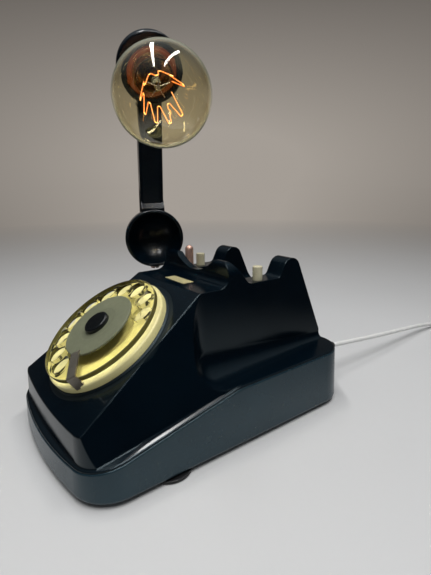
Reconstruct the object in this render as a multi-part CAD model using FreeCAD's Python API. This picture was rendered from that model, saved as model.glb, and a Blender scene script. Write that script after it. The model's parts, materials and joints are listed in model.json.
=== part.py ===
import FreeCAD, Part
import math
import os
from FreeCAD import Matrix, Placement, Rotation, Vector

# A wedge-shaped dial telephone turned into a table lamp. Millimetres, +Z up, front towards -Y.
# Drawn about the middle of the base's footprint, then shifted so that the origin is the middle of the
# standing object's box, on the table.

ROW_SHIFT = Vector(4.26, 2.01, 0)

# Base and seam
BASE_LENGTH = 218.0
BASE_WIDTH = 142.0
BASE_CORNER = 25.0
FRONT_BOW_DEG = 10.0
FOOT_HEIGHT = 2.4
FOOT_RADIUS = 8.0
FOOT_X = 50.0
FOOT_Y = 84.0
TRAY_WALL = 3.0
TRAY_EDGE = 2.5
SEAM_FRONT_Z = 18.4
SEAM_BEND_Z = 42.3
SEAM_REAR_Z = 43.0
SEAM_FRONT_Y = -116.0
SEAM_BEND_Y = -4.0
SEAM_BEND_R = 40.0
BASE_DRAFT = 0.045
FLANGE = 1.3
FLANGE_INSET = 0.5
SEAM_ROUND = 0.8

# Housing
WALL = 2.6
HOUSING_INSET = 2.2
HOUSING_BOW_DEG = 5.0
PANEL_ROUND = 1.0
PANEL_FRONT = (-105.5, 39.0)
PANEL_TOP = (-16.0, 102.0)
PANEL_HALF_FRONT = 54.9
PANEL_HALF_TOP = 42.2
CHEEK_FLARE = 0.41
CRADLE_Y = 8.5
CRADLE_FILLET = 8.0
REAR_FOOT_Y = 107.5
TOWER_HALF = 42.2
SCOOP_FRONT_Y = -30.0
SCOOP_PLAN_R = 18.6
SCOOP_FLARE_R = 17.8
SCOOP_FLARE_END = 0.6
CHANNEL_HALF = 27.0
CHANNEL_Z = 82.0
CHANNEL_Y = 14.0
CHANNEL_R = 10.0
VALLEY_Z = 102.0
BOSS_R = 4.0
CARD_HALF = 12.9
CARD_Y = (-9.2, -0.6)
NUT_R = 4.2
NUT_Z = (95.4, 99.4)
SCREW_R = 1.6
SCREW_X = 50.0
SCREW_Y = (-66.0, 88.0)

# Dial, in its own frame: Z out of the panel, Y up the slope
DIAL_ALONG = 55.0
DIAL_HOLE_R = 40.4
COLLAR_R = 46.2
COLLAR_H = 1.4
PLATE_R = 45.0
PLATE_TOP = 3.5
PLATE_RIM_TOP = 5.0
WHEEL_R = 43.0
WHEEL_LOW = 9.0
WHEEL_HIGH = 12.2
HOLE_COUNT = 10
HOLE_R = 6.7
HOLE_CIRCLE = 34.0
HOLE_FIRST_DEG = 51.0
HOLE_STEP_DEG = 25.7
DISC_R = 25.5
DISC_TOP = 13.6
CAP_R = 8.7
CAP_TOP = 16.6
SHAFT_R = 3.0
SHAFT_FIT = 0.05
FRAME_PLATE_Z = (-5.9, -2.9)
FRAME_REAR_Z = (-23.0, -21.0)
GEAR_MODULE = 0.9
GEAR_TEETH = 48
PINION_TEETH = 12
GEAR_Z = (-12.0, -9.0)
STOP_WIDTH = 6.2

# Cradle plungers, joined by a bail under the cradle
PLUNGER_X = 35.9
PLUNGER_Y = 39.8
PLUNGER_R = 3.6
PLUNGER_TOP = 112.0
PLUNGER_GAP = 0.3
BAIL_Z = (70.0, 74.0)

# Ringer volume wheel under the right side
VOLUME_AT = (59.2, -53.0)
VOLUME_R = 14.0
VOLUME_Z = (0.5, 2.1)
VOLUME_SHAFT_R = 2.5

# Handset, lamp and the copper tube that carries them
HANDSET_AT = Vector(-52.7, 5.8, 125.4)
HANDSET_AZIMUTH = 67.6
HANDSET_LEAN = 8.6
MOUTH_TILT = 4.0
EAR_TILT = -17.5
CUP_R = 24.0
CUP_DEPTH = 26.0
BOWL_R = 21.6
BOWL_DEPTH = 17.5
EAR_SPAN = 125.5
EAR_DEPTH = 25.0
HANDLE_WIDTH = 18.8
HANDLE_SHIFT = -0.5
HANDLE_STEP = 3.2
HANDLE_FRONT = 8.0
HANDLE_BACK = 23.0
HOLDER_R = 18.6
HOLDER_BORE = 13.7
BULB_CAP_R = 13.3
BULB_R = 30.5
BULB_CENTRE = 61.6
GLASS = 0.8
TUBE_R = 3.4
TUBE_AT = (-36.4, 28.8)
TUBE_TOP = 119.8
BRANCH_R = 2.6
BRANCH_Z = 107.4
BRANCH_END = (-58.6, 21.4, 108.0)

# Mains cord
CORD_D = 4.2
CORD_EXIT = Vector(36.0, 133.0, 27.2)
COIL_CENTRE = (78.0, 388.0)
COIL_INNER = 18.7
COIL_PITCH = 4.8
COIL_LAYERS = 4
COIL_TURNS = 2.25
COIL_FLOOR = 1.0

TILT = math.degrees(math.atan2(PANEL_TOP[1] - PANEL_FRONT[1], PANEL_TOP[0] - PANEL_FRONT[0]))
UP_SLOPE = Vector(0, math.cos(math.radians(TILT)), math.sin(math.radians(TILT)))
DIAL_CENTRE = Vector(0, PANEL_FRONT[0], PANEL_FRONT[1]) + UP_SLOPE * DIAL_ALONG
DIAL_FRAME = Placement(DIAL_CENTRE, Rotation(Vector(1, 0, 0), TILT))
X_AXIS = Vector(1, 0, 0)
Y_AXIS = Vector(0, 1, 0)
Z_AXIS = Vector(0, 0, 1)
ORIGIN = Vector(0, 0, 0)


def rounded_wire(corners, plane):
    """Closed outline with an arc at each corner; a corner is (a, b) or (a, b, radius)."""
    flat = {"xy": lambda a, b: Vector(a, b, 0), "xz": lambda a, b: Vector(a, 0, b),
            "yz": lambda a, b: Vector(0, a, b)}[plane]
    count = len(corners)
    ends = []
    for i, corner in enumerate(corners):
        here = flat(corner[0], corner[1])
        radius = corner[2] if len(corner) > 2 else 0
        if not radius:
            ends.append((here, None, here))
            continue
        back = (flat(*corners[i - 1][:2]) - here).normalize()
        ahead = (flat(*corners[(i + 1) % count][:2]) - here).normalize()
        half = back.getAngle(ahead) / 2
        reach = radius / math.tan(half)
        middle = here + (back + ahead).normalize() * (radius / math.sin(half) - radius)
        ends.append((here + back * reach, middle, here + ahead * reach))
    edges = []
    for i, (start, middle, stop) in enumerate(ends):
        if middle is not None:
            edges.append(Part.Arc(start, middle, stop).toShape())
        follow = ends[(i + 1) % count][0]
        if stop.distanceToPoint(follow) > 1e-6:
            edges.append(Part.LineSegment(stop, follow).toShape())
    return Part.Wire(edges)


def prism(corners, plane, low, high):
    """Extrude a closed outline square to its plane, from low to high."""
    normal = {"xy": Z_AXIS, "xz": Y_AXIS, "yz": X_AXIS}[plane]
    face = Part.Face(rounded_wire(corners, plane))
    face.translate(normal * low)
    return face.extrude(normal * (high - low))


def footprint(inset, z, bow_deg):
    """Outline of the base at a height, drawn in by inset and by the draft; its front edge is bowed."""
    drawn = inset + BASE_DRAFT * (z - FOOT_HEIGHT)
    x = BASE_WIDTH / 2 - drawn
    y = BASE_LENGTH / 2 - drawn
    r = BASE_CORNER - drawn
    bow = math.radians(bow_deg)
    turn = x - r + r * math.sin(bow)
    front = -y + r - r * math.cos(bow)
    ends = [Vector(-turn, front, z), Vector(turn, front, z)]
    swing = math.radians(bow_deg / 2 - 45)
    corner = Vector(x - r + r * math.cos(swing), -y + r + r * math.sin(swing), z)
    back = rounded_wire([(x, -y + r), (x, y, r), (-x, y, r), (-x, -y + r)], "xy").Edges[:-1]
    wire = Part.Wire(back)
    wire.translate(Vector(0, 0, z))
    return Part.Wire([
        Part.Arc(ends[0], Vector(0, front - turn * math.tan(bow / 2), z), ends[1]).toShape(),
        Part.Arc(ends[1], corner, Vector(x, -y + r, z)).toShape(), *wire.Edges,
        Part.Arc(Vector(-x, -y + r, z), Vector(-corner.x, corner.y, z), ends[0]).toShape()])


def slab(inset, low, high, bow_deg=FRONT_BOW_DEG):
    """Body over the base's footprint, with drafted walls."""
    return Part.makeLoft([footprint(inset, low, bow_deg), footprint(inset, high, bow_deg)], True, True)


def turned(points):
    """Solid of revolution about Z from (radius, z) points; a third value rounds that corner."""
    face = Part.Face(rounded_wire(points, "xz"))
    return face.revolve(ORIGIN, Z_AXIS, 360)


def disc(radius, low, high, x=0.0, y=0.0):
    return Part.makeCylinder(radius, high - low, Vector(x, y, low))


def placed(shape, placement):
    moved = shape.copy()
    moved.Placement = placement.multiply(moved.Placement)
    return moved


def mirrored(shape):
    return shape.mirror(ORIGIN, X_AXIS)


def axes_frame(origin, x, y, z):
    """Placement whose local axes are the given unit vectors."""
    return Placement(Matrix(x.x, y.x, z.x, origin.x, x.y, y.y, z.y, origin.y,
                            x.z, y.z, z.z, origin.z, 0, 0, 0, 1))


def below_seam(lift, depth):
    """Block that fills everything under the seam surface, raised by lift."""
    reach = BASE_LENGTH
    return prism([(-reach, -depth), (reach, -depth), (reach, SEAM_REAR_Z + lift),
                  (BASE_LENGTH / 2, SEAM_REAR_Z + lift), (SEAM_BEND_Y, SEAM_BEND_Z + lift, SEAM_BEND_R),
                  (SEAM_FRONT_Y, SEAM_FRONT_Z + lift), (-reach, SEAM_FRONT_Z + lift)],
                 "yz", -BASE_WIDTH, BASE_WIDTH)


def soft_rim(body, lift):
    """Cut a body off at the seam surface, raised by lift, and round its upper edge."""
    body = body.common(below_seam(lift, 0))
    rim = []
    for edge in body.Edges:
        across = abs(edge.BoundBox.YLength) < 1e-6 and edge.BoundBox.XLength > BASE_WIDTH / 2
        bent = across and abs(edge.CenterOfMass.y) < BASE_LENGTH / 2 - 15
        if edge.BoundBox.ZMin > SEAM_FRONT_Z - 3 and edge.BoundBox.ZLength < 30 and not bent:
            if edge.CenterOfMass.z < SEAM_REAR_Z + lift + 0.6:
                rim.append(edge)
    return body.makeFillet(SEAM_ROUND, rim)


def base_tray():
    low = FOOT_HEIGHT
    body = slab(0, low, SEAM_BEND_Z + 5)
    rim = [e for e in body.Edges if abs(e.CenterOfMass.z - low) < 1e-6]
    body = body.makeFillet(TRAY_EDGE, rim)
    body = soft_rim(body, 0)
    body = body.cut(slab(TRAY_WALL, low + TRAY_WALL, SEAM_BEND_Z + 10))
    body = body.cut(disc(VOLUME_SHAFT_R + SHAFT_FIT, 0, 20, *VOLUME_AT))
    for x in (-SCREW_X, SCREW_X):
        for y in SCREW_Y:
            body = body.cut(disc(2.0, 0, 20, x, y))
            body = body.cut(disc(3.6, 0, low + 1.4, x, y))
    hole = Part.makeCylinder(6.0, 20, Vector(CORD_EXIT.x, 95, CORD_EXIT.z), Y_AXIS)
    return body.cut(hole)


def rubber_feet():
    foot = turned([(0, 0), (FOOT_RADIUS - 1, 0, 0.8), (FOOT_RADIUS, FOOT_HEIGHT), (0, FOOT_HEIGHT)])
    feet = []
    for x in (-FOOT_X, FOOT_X):
        for y in (-FOOT_Y, FOOT_Y):
            one = foot.copy()
            one.translate(Vector(x, y, 0))
            feet.append(one)
    return Part.makeCompound(feet)


def base_screws():
    low = FOOT_HEIGHT
    screw = turned([(0, low), (3.2, low), (3.2, low + 1.3), (SCREW_R, low + 1.3),
                    (SCREW_R, low + 16), (0, low + 16)])
    screws = []
    for x in (-SCREW_X, SCREW_X):
        for y in SCREW_Y:
            one = screw.copy()
            one.translate(Vector(x, y, 0))
            screws.append(one)
    return Part.makeCompound(screws)


def cheek_cutter(inset):
    """Everything outside the sloping right cheek, whose plane holds the panel's crease."""
    crease = Vector(PANEL_HALF_TOP - PANEL_HALF_FRONT, PANEL_TOP[0] - PANEL_FRONT[0],
                    PANEL_TOP[1] - PANEL_FRONT[1])
    normal = Vector(CHEEK_FLARE, 0, -1).cross(crease).normalize()
    if normal.x < 0:
        normal = -normal
    block = Part.makeBox(600, 600, 200, Vector(-300, -300, 0))
    corner = Vector(PANEL_HALF_FRONT, PANEL_FRONT[0], PANEL_FRONT[1])
    block.Placement = Placement(corner - normal * inset, Rotation(Z_AXIS, normal))
    return block


def scoop_floor(y):
    """Height of the ledge beside the cradle: level with the top of the rear flange."""
    slope = (SEAM_BEND_Z - SEAM_REAR_Z) / (BASE_LENGTH / 2 - SEAM_BEND_Y)
    return SEAM_BEND_Z + FLANGE - slope * (y - SEAM_BEND_Y)


def flare_arc(x, y, radius, inset):
    """Round foot of the wall at one place along it, from the wall down to the ledge."""
    foot = scoop_floor(y) - inset
    reach = radius * (1 - math.sqrt(0.5))
    return Part.Arc(Vector(x, y, foot + radius), Vector(x + reach, y, foot + reach),
                    Vector(x + radius, y, foot)).toShape()


def flare_section(arc):
    """Closed corner between wall, ledge and the round foot."""
    ends = sorted((v.Point for v in arc.Vertexes), key=lambda p: p.z)
    corner = Vector(ends[1].x, ends[1].y, ends[0].z)
    return Part.Wire([arc, Part.LineSegment(ends[0], corner).toShape(),
                      Part.LineSegment(corner, ends[1]).toShape()])


def scoop_cutter(inset):
    """The hollow beside the cradle: upright wall, round front end, flared foot dying out rearwards."""
    x = TOWER_HALF - inset
    front = SCOOP_FRONT_Y - inset
    bend = SCOOP_FRONT_Y + SCOOP_PLAN_R
    far = 140.0
    under = prism([(-far, -far), (far + 5, -far), (far + 5, scoop_floor(far + 5) - inset),
                   (-far, scoop_floor(-far) - inset)], "yz", -far, 2 * far)
    nose = prism([(x, bend), (x, front, SCOOP_PLAN_R + inset), (far, front), (far, bend)], "xy", 0, far)
    nose = nose.cut(under)
    foot = []
    for edge in nose.Edges:
        middle = edge.CenterOfMass
        on_floor = abs(middle.z - scoop_floor(middle.y) + inset) < 0.01
        if on_floor and middle.x < far - 1 and middle.y < bend - 1:
            foot.append(edge)
    nose = nose.makeFillet(SCOOP_FLARE_R + inset, foot)
    back = [f for f in nose.Faces if f.BoundBox.YLength < 1e-4 and abs(f.CenterOfMass.y - bend) < 1e-4][0]
    first = [e for e in back.Edges if not isinstance(e.Curve, Part.Line)][0]
    last = flare_arc(x, far, SCOOP_FLARE_END + inset, inset)
    rear = prism([(x, bend), (far, bend), (far, far), (x, far)], "xy", 0, far).cut(under)
    flare = Part.makeLoft([flare_section(first), flare_section(last)], True, True)
    return nose.fuse(rear.cut(flare)).removeSplitter()


def side_profile():
    """Outline seen from the side: front, panel, ledge, front horn, valley, rear horn, back slope."""
    slope = (PANEL_TOP[1] - PANEL_FRONT[1]) / (PANEL_TOP[0] - PANEL_FRONT[0])
    reach = 20.0
    nose = PANEL_FRONT[0] - reach
    return [(nose, 10), (nose, PANEL_FRONT[1] - slope * reach), (*PANEL_TOP, 1.5),
            (CRADLE_Y, VALLEY_Z, CRADLE_FILLET), (CRADLE_Y, 124.7, 3.2), (26.3, VALLEY_Z, 7.0),
            (56.7, VALLEY_Z, 4.0), (69.4, 126.9, 9.0), (REAR_FOOT_Y, 45), (REAR_FOOT_Y, 10)]


def horn_trim():
    """What is taken off the front wall so that two horns and a soft dip are left between them."""
    foot = TOWER_HALF + 0.2
    apex = (foot, 131.5, 12.0)
    top = prism([(-60, 60), (60, 60), (60, VALLEY_Z), (foot, VALLEY_Z), apex, (0, 100.4, 33.0),
                 (-apex[0], apex[1], apex[2]), (-foot, VALLEY_Z), (-60, VALLEY_Z)], "xz", -20, 60)
    block = Part.makeBox(120, 31, 40, Vector(-60, CRADLE_Y - CRADLE_FILLET - 1, VALLEY_Z))
    return block.cut(top)


def housing_outside():
    body = slab(HOUSING_INSET, 10, 135, HOUSING_BOW_DEG).common(prism(side_profile(), "yz", -80, 80))
    brow = [e for e in body.Edges if e.CenterOfMass.y < -90 and e.BoundBox.ZMin > 30]
    body = body.makeFillet(PANEL_ROUND, brow)
    for cutter in (cheek_cutter(0), scoop_cutter(0)):
        body = body.cut(cutter).cut(mirrored(cutter))
    body = body.cut(horn_trim())
    half = CHANNEL_HALF
    channel = prism([(-half, 140), (-half, CHANNEL_Z, CHANNEL_R), (half, CHANNEL_Z, CHANNEL_R),
                     (half, 140)], "xz", CHANNEL_Y, 140)
    return body.cut(channel)


def housing_inside():
    """The hollow under the housing, a wall's thickness inside its outer faces."""
    under = CHANNEL_Z - WALL
    inner = prism([(-121.0, 5), (-121.0, 24.9), (-15.0, 99.4), (10.6, 99.4), (10.6, under),
                   (88.4, under), (104.6, 44.6), (104.6, 5)], "yz", -80, 80)
    body = slab(HOUSING_INSET + WALL, 5, 135, HOUSING_BOW_DEG).common(inner)
    for side in (1, -1):
        low_x = CHANNEL_HALF + WALL if side > 0 else -TOWER_HALF + WALL
        width = TOWER_HALF - CHANNEL_HALF - 2 * WALL
        body = body.fuse(Part.makeBox(width, 61, 40, Vector(low_x, 17, 59.4)))
    for cutter in (cheek_cutter(WALL), scoop_cutter(WALL)):
        body = body.cut(cutter).cut(mirrored(cutter))
    return body


def housing():
    outside = housing_outside()
    outside = outside.fuse(soft_rim(slab(FLANGE_INSET, 10, 60), FLANGE))
    collar = placed(turned([(0, -WALL), (COLLAR_R, -WALL), (COLLAR_R, 0.4), (COLLAR_R - 1.0, COLLAR_H, 0.8),
                            (0, COLLAR_H)]), DIAL_FRAME)
    outside = outside.fuse(collar)
    shell = outside.cut(housing_inside())
    bosses = []
    for x in (-SCREW_X, SCREW_X):
        for y in SCREW_Y:
            boss = disc(BOSS_R, FOOT_HEIGHT + TRAY_WALL, 75, x, y).common(outside)
            post = disc(BOSS_R, FOOT_HEIGHT + TRAY_WALL, 30, x, y)
            bosses.append(boss.fuse(post))
    shell = shell.cut(below_seam(0, 0))
    for post in bosses:
        shell = shell.fuse(post)
    for x in (-SCREW_X, SCREW_X):
        for y in SCREW_Y:
            shell = shell.cut(disc(SCREW_R + 0.05, 0, FOOT_HEIGHT + 17, x, y))
    shell = shell.cut(placed(disc(DIAL_HOLE_R, -20, 20), DIAL_FRAME))
    for x in (-PLUNGER_X, PLUNGER_X):
        shell = shell.cut(disc(PLUNGER_R + PLUNGER_GAP, 60, 130, x, PLUNGER_Y))
    shell = shell.cut(disc(TUBE_R + 0.1, 60, 130, *TUBE_AT)).cut(disc(NUT_R + 0.1, 60, NUT_Z[1], *TUBE_AT))
    x, low, high = CARD_HALF + 0.2, CARD_Y[0] - 0.2, CARD_Y[1] + 0.2
    card = prism([(-x, low), (x, low), (x, high), (-x, high)], "xy", VALLEY_Z - 0.6, 110)
    return shell.cut(card).removeSplitter()


def name_card():
    low, high = CARD_Y
    return prism([(-CARD_HALF, low, 0.8), (CARD_HALF, low, 0.8), (CARD_HALF, high, 0.8),
                  (-CARD_HALF, high, 0.8)], "xy", VALLEY_Z - 0.6, VALLEY_Z + 0.2)


def clock(degrees, radius):
    """Point at a clockwise angle from the top of the dial."""
    a = math.radians(degrees)
    return radius * math.sin(a), radius * math.cos(a)


def number_plate():
    spigot = DIAL_HOLE_R - 0.1
    floor = FRAME_PLATE_Z[1]
    return turned([(SHAFT_R + 7, floor), (spigot, floor), (spigot, COLLAR_H), (PLATE_R, COLLAR_H),
                   (PLATE_R, PLATE_RIM_TOP, 0.9), (PLATE_R - 3.2, PLATE_RIM_TOP, 1.4),
                   (PLATE_R - 4.8, PLATE_TOP, 2.0), (SHAFT_R + 7, PLATE_TOP)])


def finger_wheel():
    wheel = turned([(SHAFT_R, WHEEL_LOW), (WHEEL_R, WHEEL_LOW), (WHEEL_R, WHEEL_HIGH, 0.8),
                    (SHAFT_R, WHEEL_HIGH)])
    for i in range(HOLE_COUNT):
        x, y = clock(HOLE_FIRST_DEG - i * HOLE_STEP_DEG, HOLE_CIRCLE)
        hole = turned([(0, WHEEL_LOW - 1), (HOLE_R, WHEEL_LOW - 1), (HOLE_R, WHEEL_HIGH - 0.7),
                       (HOLE_R + 0.9, WHEEL_HIGH + 0.2), (0, WHEEL_HIGH + 0.2)])
        hole.translate(Vector(x, y, 0))
        wheel = wheel.cut(hole)
    return wheel


def centre_disc():
    return turned([(SHAFT_R, WHEEL_HIGH), (DISC_R, WHEEL_HIGH), (DISC_R, DISC_TOP, 0.5), (SHAFT_R, DISC_TOP)])


def hub_cap():
    return turned([(0, DISC_TOP), (CAP_R, DISC_TOP), (CAP_R, CAP_TOP, 1.2), (0, CAP_TOP)])


def dial_shaft():
    return turned([(0, FRAME_REAR_Z[0] - 2), (SHAFT_R, FRAME_REAR_Z[0] - 2), (SHAFT_R, WHEEL_LOW - 3),
                   (SHAFT_R + 6, WHEEL_LOW - 2), (SHAFT_R + 6, WHEEL_LOW), (SHAFT_R, WHEEL_LOW),
                   (SHAFT_R, DISC_TOP), (0, DISC_TOP)])


def gear(teeth, bore, low, high, turn):
    """Spur gear with straight-sided teeth, thinned for backlash; turn sets where a tooth points."""
    pitch_r = teeth * GEAR_MODULE / 2
    tip = pitch_r + 0.85 * GEAR_MODULE
    root = pitch_r - 1.2 * GEAR_MODULE
    step = 2 * math.pi / teeth
    corners = []
    for i in range(teeth):
        middle = turn + i * step
        for radius, share in ((root, -0.30), (tip, -0.10), (tip, 0.10), (root, 0.30)):
            angle = middle + share * step
            corners.append((radius * math.cos(angle), radius * math.sin(angle)))
    return prism(corners, "xy", low, high).cut(disc(bore, low - 1, high + 1))


def gear_distance():
    return (GEAR_TEETH + PINION_TEETH) * GEAR_MODULE / 2


def dial_gear():
    return gear(GEAR_TEETH, SHAFT_R, *GEAR_Z, 0.0)


def pulse_pinion():
    """Pinion on its own shaft, a gap of its teeth facing the dial gear."""
    pinion = gear(PINION_TEETH, 1.0, *GEAR_Z, math.pi + math.pi / PINION_TEETH)
    shaft = disc(2.0, FRAME_REAR_Z[0] - 1, FRAME_PLATE_Z[1] - 0.6)
    pinion = pinion.fuse(shaft)
    pinion.translate(Vector(gear_distance(), 0, 0))
    return pinion


def pulse_cam():
    """Three-lobed cam that opens the pulse contact."""
    lobes = disc(5.0, -18, -15.5)
    for i in range(3):
        a = 2 * math.pi * i / 3
        lobes = lobes.fuse(disc(2.2, -18, -15.5, 4.6 * math.cos(a), 4.6 * math.sin(a)))
    lobes = lobes.cut(disc(2.0, -30, 0)).removeSplitter()
    lobes.translate(Vector(gear_distance(), 0, 0))
    return lobes


def dial_frame():
    """Two plates and three pillars that carry the dial shaft and the pinion."""
    front = disc(43.0, *FRAME_PLATE_Z)
    rear = disc(35.0, *FRAME_REAR_Z)
    frame = front.fuse(rear)
    for degrees in (200, 270, 340):
        x, y = clock(degrees, 31.0)
        frame = frame.fuse(disc(2.5, FRAME_REAR_Z[1] - 1, FRAME_PLATE_Z[0] + 1, x, y))
    frame = frame.cut(disc(SHAFT_R + SHAFT_FIT, -40, 10))
    return frame.cut(disc(2.0 + SHAFT_FIT, -40, 10, gear_distance(), 0)).removeSplitter()


def finger_stop():
    """Bent strip: a riser on the plate's rim, past the wheel, and a blade over the holes."""
    inner = Vector(9.1, -22.2, 0)
    along = (inner - Vector(28.3, -34.8, 0)).normalize()
    strip = 1.1
    outer = inner - along * 23.0
    low = PLATE_RIM_TOP
    high = DISC_TOP + 1.7
    outline = [(0, low), (strip, low), (strip, high - strip, 0.5), (23.0, high - strip),
               (23.0, high, 0.5), (0, high, 1.2)]
    blade = prism(outline, "xz", -STOP_WIDTH / 2, STOP_WIDTH / 2)
    return placed(blade, axes_frame(outer, along, Z_AXIS.cross(along), Z_AXIS))


def plunger(side):
    rod = turned([(0, BAIL_Z[1]), (PLUNGER_R, BAIL_Z[1]), (PLUNGER_R, PLUNGER_TOP, 0.6), (0, PLUNGER_TOP)])
    rod.translate(Vector(side * PLUNGER_X, PLUNGER_Y, 0))
    return rod


def hook_bail():
    bar = Part.makeBox(2 * PLUNGER_X, 5, 4, Vector(-PLUNGER_X, PLUNGER_Y - 2.5, BAIL_Z[0]))
    for x in (-PLUNGER_X, PLUNGER_X):
        bar = bar.fuse(disc(PLUNGER_R, *BAIL_Z, x, PLUNGER_Y))
    return bar.removeSplitter()


def hook_switch():
    """Contact block under the cradle floor, with three leaves below the bail."""
    top = CHANNEL_Z - WALL
    block = Part.makeBox(20, 10, top - 52, Vector(-10, 48, 52))
    for z in (54.0, 57.0, 60.0):
        block = block.fuse(Part.makeBox(6, 16, 0.6, Vector(-3, 32.5, z)))
    return block.removeSplitter()


def volume_wheel():
    x, y = VOLUME_AT
    wheel = turned([(0, VOLUME_Z[0]), (VOLUME_R, VOLUME_Z[0], 0.5), (VOLUME_R, VOLUME_Z[1], 0.5),
                    (VOLUME_SHAFT_R, VOLUME_Z[1]), (VOLUME_SHAFT_R, 14), (0, 14)])
    wheel.translate(Vector(x, y, 0))
    return wheel


def volume_cam():
    cam = disc(4.6, 7.3, 9.3, 0.8, 0).cut(disc(VOLUME_SHAFT_R, 0, 20))
    cam.translate(Vector(*VOLUME_AT, 0))
    return cam


FLOOR = FOOT_HEIGHT + TRAY_WALL
GONG_X = 26.0
GONG_Y = 62.0
GONG_R = 21.0
CLAPPER_PIVOT = Vector(0, 38.0, 0)
CLAPPER_Z = (14.0, 17.0)


def ringer_bracket():
    plate = Part.makeBox(76, 74, 2, Vector(-38, 12, FLOOR))
    for x in (-GONG_X, GONG_X):
        plate = plate.fuse(disc(3.0, FLOOR, 24.0, x, GONG_Y))
    plate = plate.fuse(disc(1.5, FLOOR, CLAPPER_Z[1] + 2, CLAPPER_PIVOT.x, CLAPPER_PIVOT.y))
    return plate.removeSplitter()


def gong(side):
    """Thin dome on its post, open below."""
    outer = turned([(0, 13), (GONG_R, 13), (GONG_R, 21, 6), (8, 26, 6), (0, 26)])
    inner = turned([(0, 12), (GONG_R - 1.6, 12), (GONG_R - 1.6, 19.6, 5), (7.4, 24.0, 5), (0, 24.0)])
    shell = outer.cut(inner)
    shell.translate(Vector(side * GONG_X, GONG_Y, 0))
    return shell


def ringer_coils():
    coils = []
    for x in (-11.0, 11.0):
        spool = turned([(0, 0), (8, 0), (8, 1.5), (6.8, 1.5), (6.8, 16.5), (8, 16.5), (8, 18), (0, 18)])
        spool.Placement = Placement(Vector(x, 32, FLOOR + 10.2), Rotation(X_AXIS, 90))
        coils.append(spool)
    return Part.makeCompound(coils)


def clapper():
    arm = Part.makeBox(2.4, 22, 2, Vector(-1.2, CLAPPER_PIVOT.y, CLAPPER_Z[0] + 0.5))
    boss = disc(3.5, *CLAPPER_Z, CLAPPER_PIVOT.x, CLAPPER_PIVOT.y)
    ball = Part.makeSphere(3.2, Vector(0, GONG_Y - 1, CLAPPER_Z[0] + 1.5))
    return arm.fuse(boss).fuse(ball).cut(disc(1.55, 0, 40, CLAPPER_PIVOT.x, CLAPPER_PIVOT.y)).removeSplitter()


def terminal_block():
    block = Part.makeBox(34, 18, 13, Vector(-17, -34, FLOOR))
    for x in (-11, 0, 11):
        block = block.cut(disc(3.0, FLOOR + 5, FLOOR + 20, x, -25))
    return block


def aimed_frame(origin, elevation):
    """Frame whose Z looks out of the handset's front at an elevation; X to its right, Y upwards."""
    a = math.radians(HANDSET_AZIMUTH)
    e = math.radians(elevation)
    x = Vector(math.cos(a), math.sin(a), 0)
    z = Vector(math.sin(a) * math.cos(e), -math.cos(a) * math.cos(e), math.sin(e))
    return axes_frame(origin, x, z.cross(x), z)


HANDLE_FRAME = aimed_frame(HANDSET_AT, -HANDSET_LEAN)
MOUTH_FRAME = aimed_frame(HANDSET_AT, MOUTH_TILT - HANDSET_LEAN)
EAR_FRAME = aimed_frame(HANDLE_FRAME.multVec(Vector(0, EAR_SPAN, 0)), EAR_TILT - HANDSET_LEAN)


def cup_solid(depth):
    """Rounded cup, rim in the plane z = 0 and its back at z = -depth."""
    return turned([(0, -depth), (CUP_R - 7, -depth, 9), (CUP_R - 0.6, -12, 14), (CUP_R, -2.5), (CUP_R, 0, 1.2),
                   (0, 0)])


def mouth_cup():
    bowl = Part.Wire([
        Part.Arc(Vector(0, 0, -BOWL_DEPTH), Vector(15.6, 0, -11.5), Vector(BOWL_R, 0, 0)).toShape(),
        Part.LineSegment(Vector(BOWL_R, 0, 0), Vector(BOWL_R, 0, 1)).toShape(),
        Part.LineSegment(Vector(BOWL_R, 0, 1), Vector(0, 0, 1)).toShape(),
        Part.LineSegment(Vector(0, 0, 1), Vector(0, 0, -BOWL_DEPTH)).toShape()])
    hollow = Part.Face(bowl).revolve(ORIGIN, Z_AXIS, 360)
    cup = placed(cup_solid(CUP_DEPTH).cut(hollow), MOUTH_FRAME)
    return cup.cut(branch_solid(BRANCH_R + 0.02))


def ear_cup():
    recess = disc(HOLDER_R + 0.1, -16, 1)
    return placed(cup_solid(EAR_DEPTH).cut(recess), EAR_FRAME)


def handle():
    """Slightly bowed grip between the two cups, with rounded long edges and a bevelled step at its foot."""
    half = HANDLE_WIDTH / 2
    front = -HANDLE_FRONT
    back = -HANDLE_BACK
    step = CUP_R + 0.8
    face = Part.Wire([
        Part.LineSegment(Vector(0, -6, front + 4), Vector(0, step, front + 4)).toShape(),
        Part.LineSegment(Vector(0, step, front + 4), Vector(0, step + HANDLE_STEP, front)).toShape(),
        Part.LineSegment(Vector(0, step + HANDLE_STEP, front), Vector(0, EAR_SPAN + 6, front + 2)).toShape(),
        Part.LineSegment(Vector(0, EAR_SPAN + 6, front + 2), Vector(0, EAR_SPAN + 6, back + 2)).toShape(),
        Part.Arc(Vector(0, EAR_SPAN + 6, back + 2), Vector(0, EAR_SPAN / 2, back - 3),
                 Vector(0, -6, back)).toShape(),
        Part.LineSegment(Vector(0, -6, back), Vector(0, -6, front + 4)).toShape()])
    bar = Part.Face(face)
    bar.translate(Vector(HANDLE_SHIFT - half, 0, 0))
    bar = bar.extrude(Vector(2 * half, 0, 0))
    long_edges = [e for e in bar.Edges if e.Length > EAR_SPAN * 0.7]
    bar = placed(bar.makeFillet(3.5, long_edges), HANDLE_FRAME)
    bar = bar.cut(placed(cup_solid(CUP_DEPTH), MOUTH_FRAME))
    bar = bar.cut(placed(cup_solid(EAR_DEPTH), EAR_FRAME))
    return largest(bar)


def largest(shape):
    return max(shape.Solids, key=lambda s: s.Volume)


def branch_solid(radius):
    """Level arm from the upright tube into the mouthpiece cup's wall."""
    start = Vector(*TUBE_AT, BRANCH_Z)
    end = Vector(*BRANCH_END)
    return Part.makeCylinder(radius, end.distanceToPoint(start), start, end - start)


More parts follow.
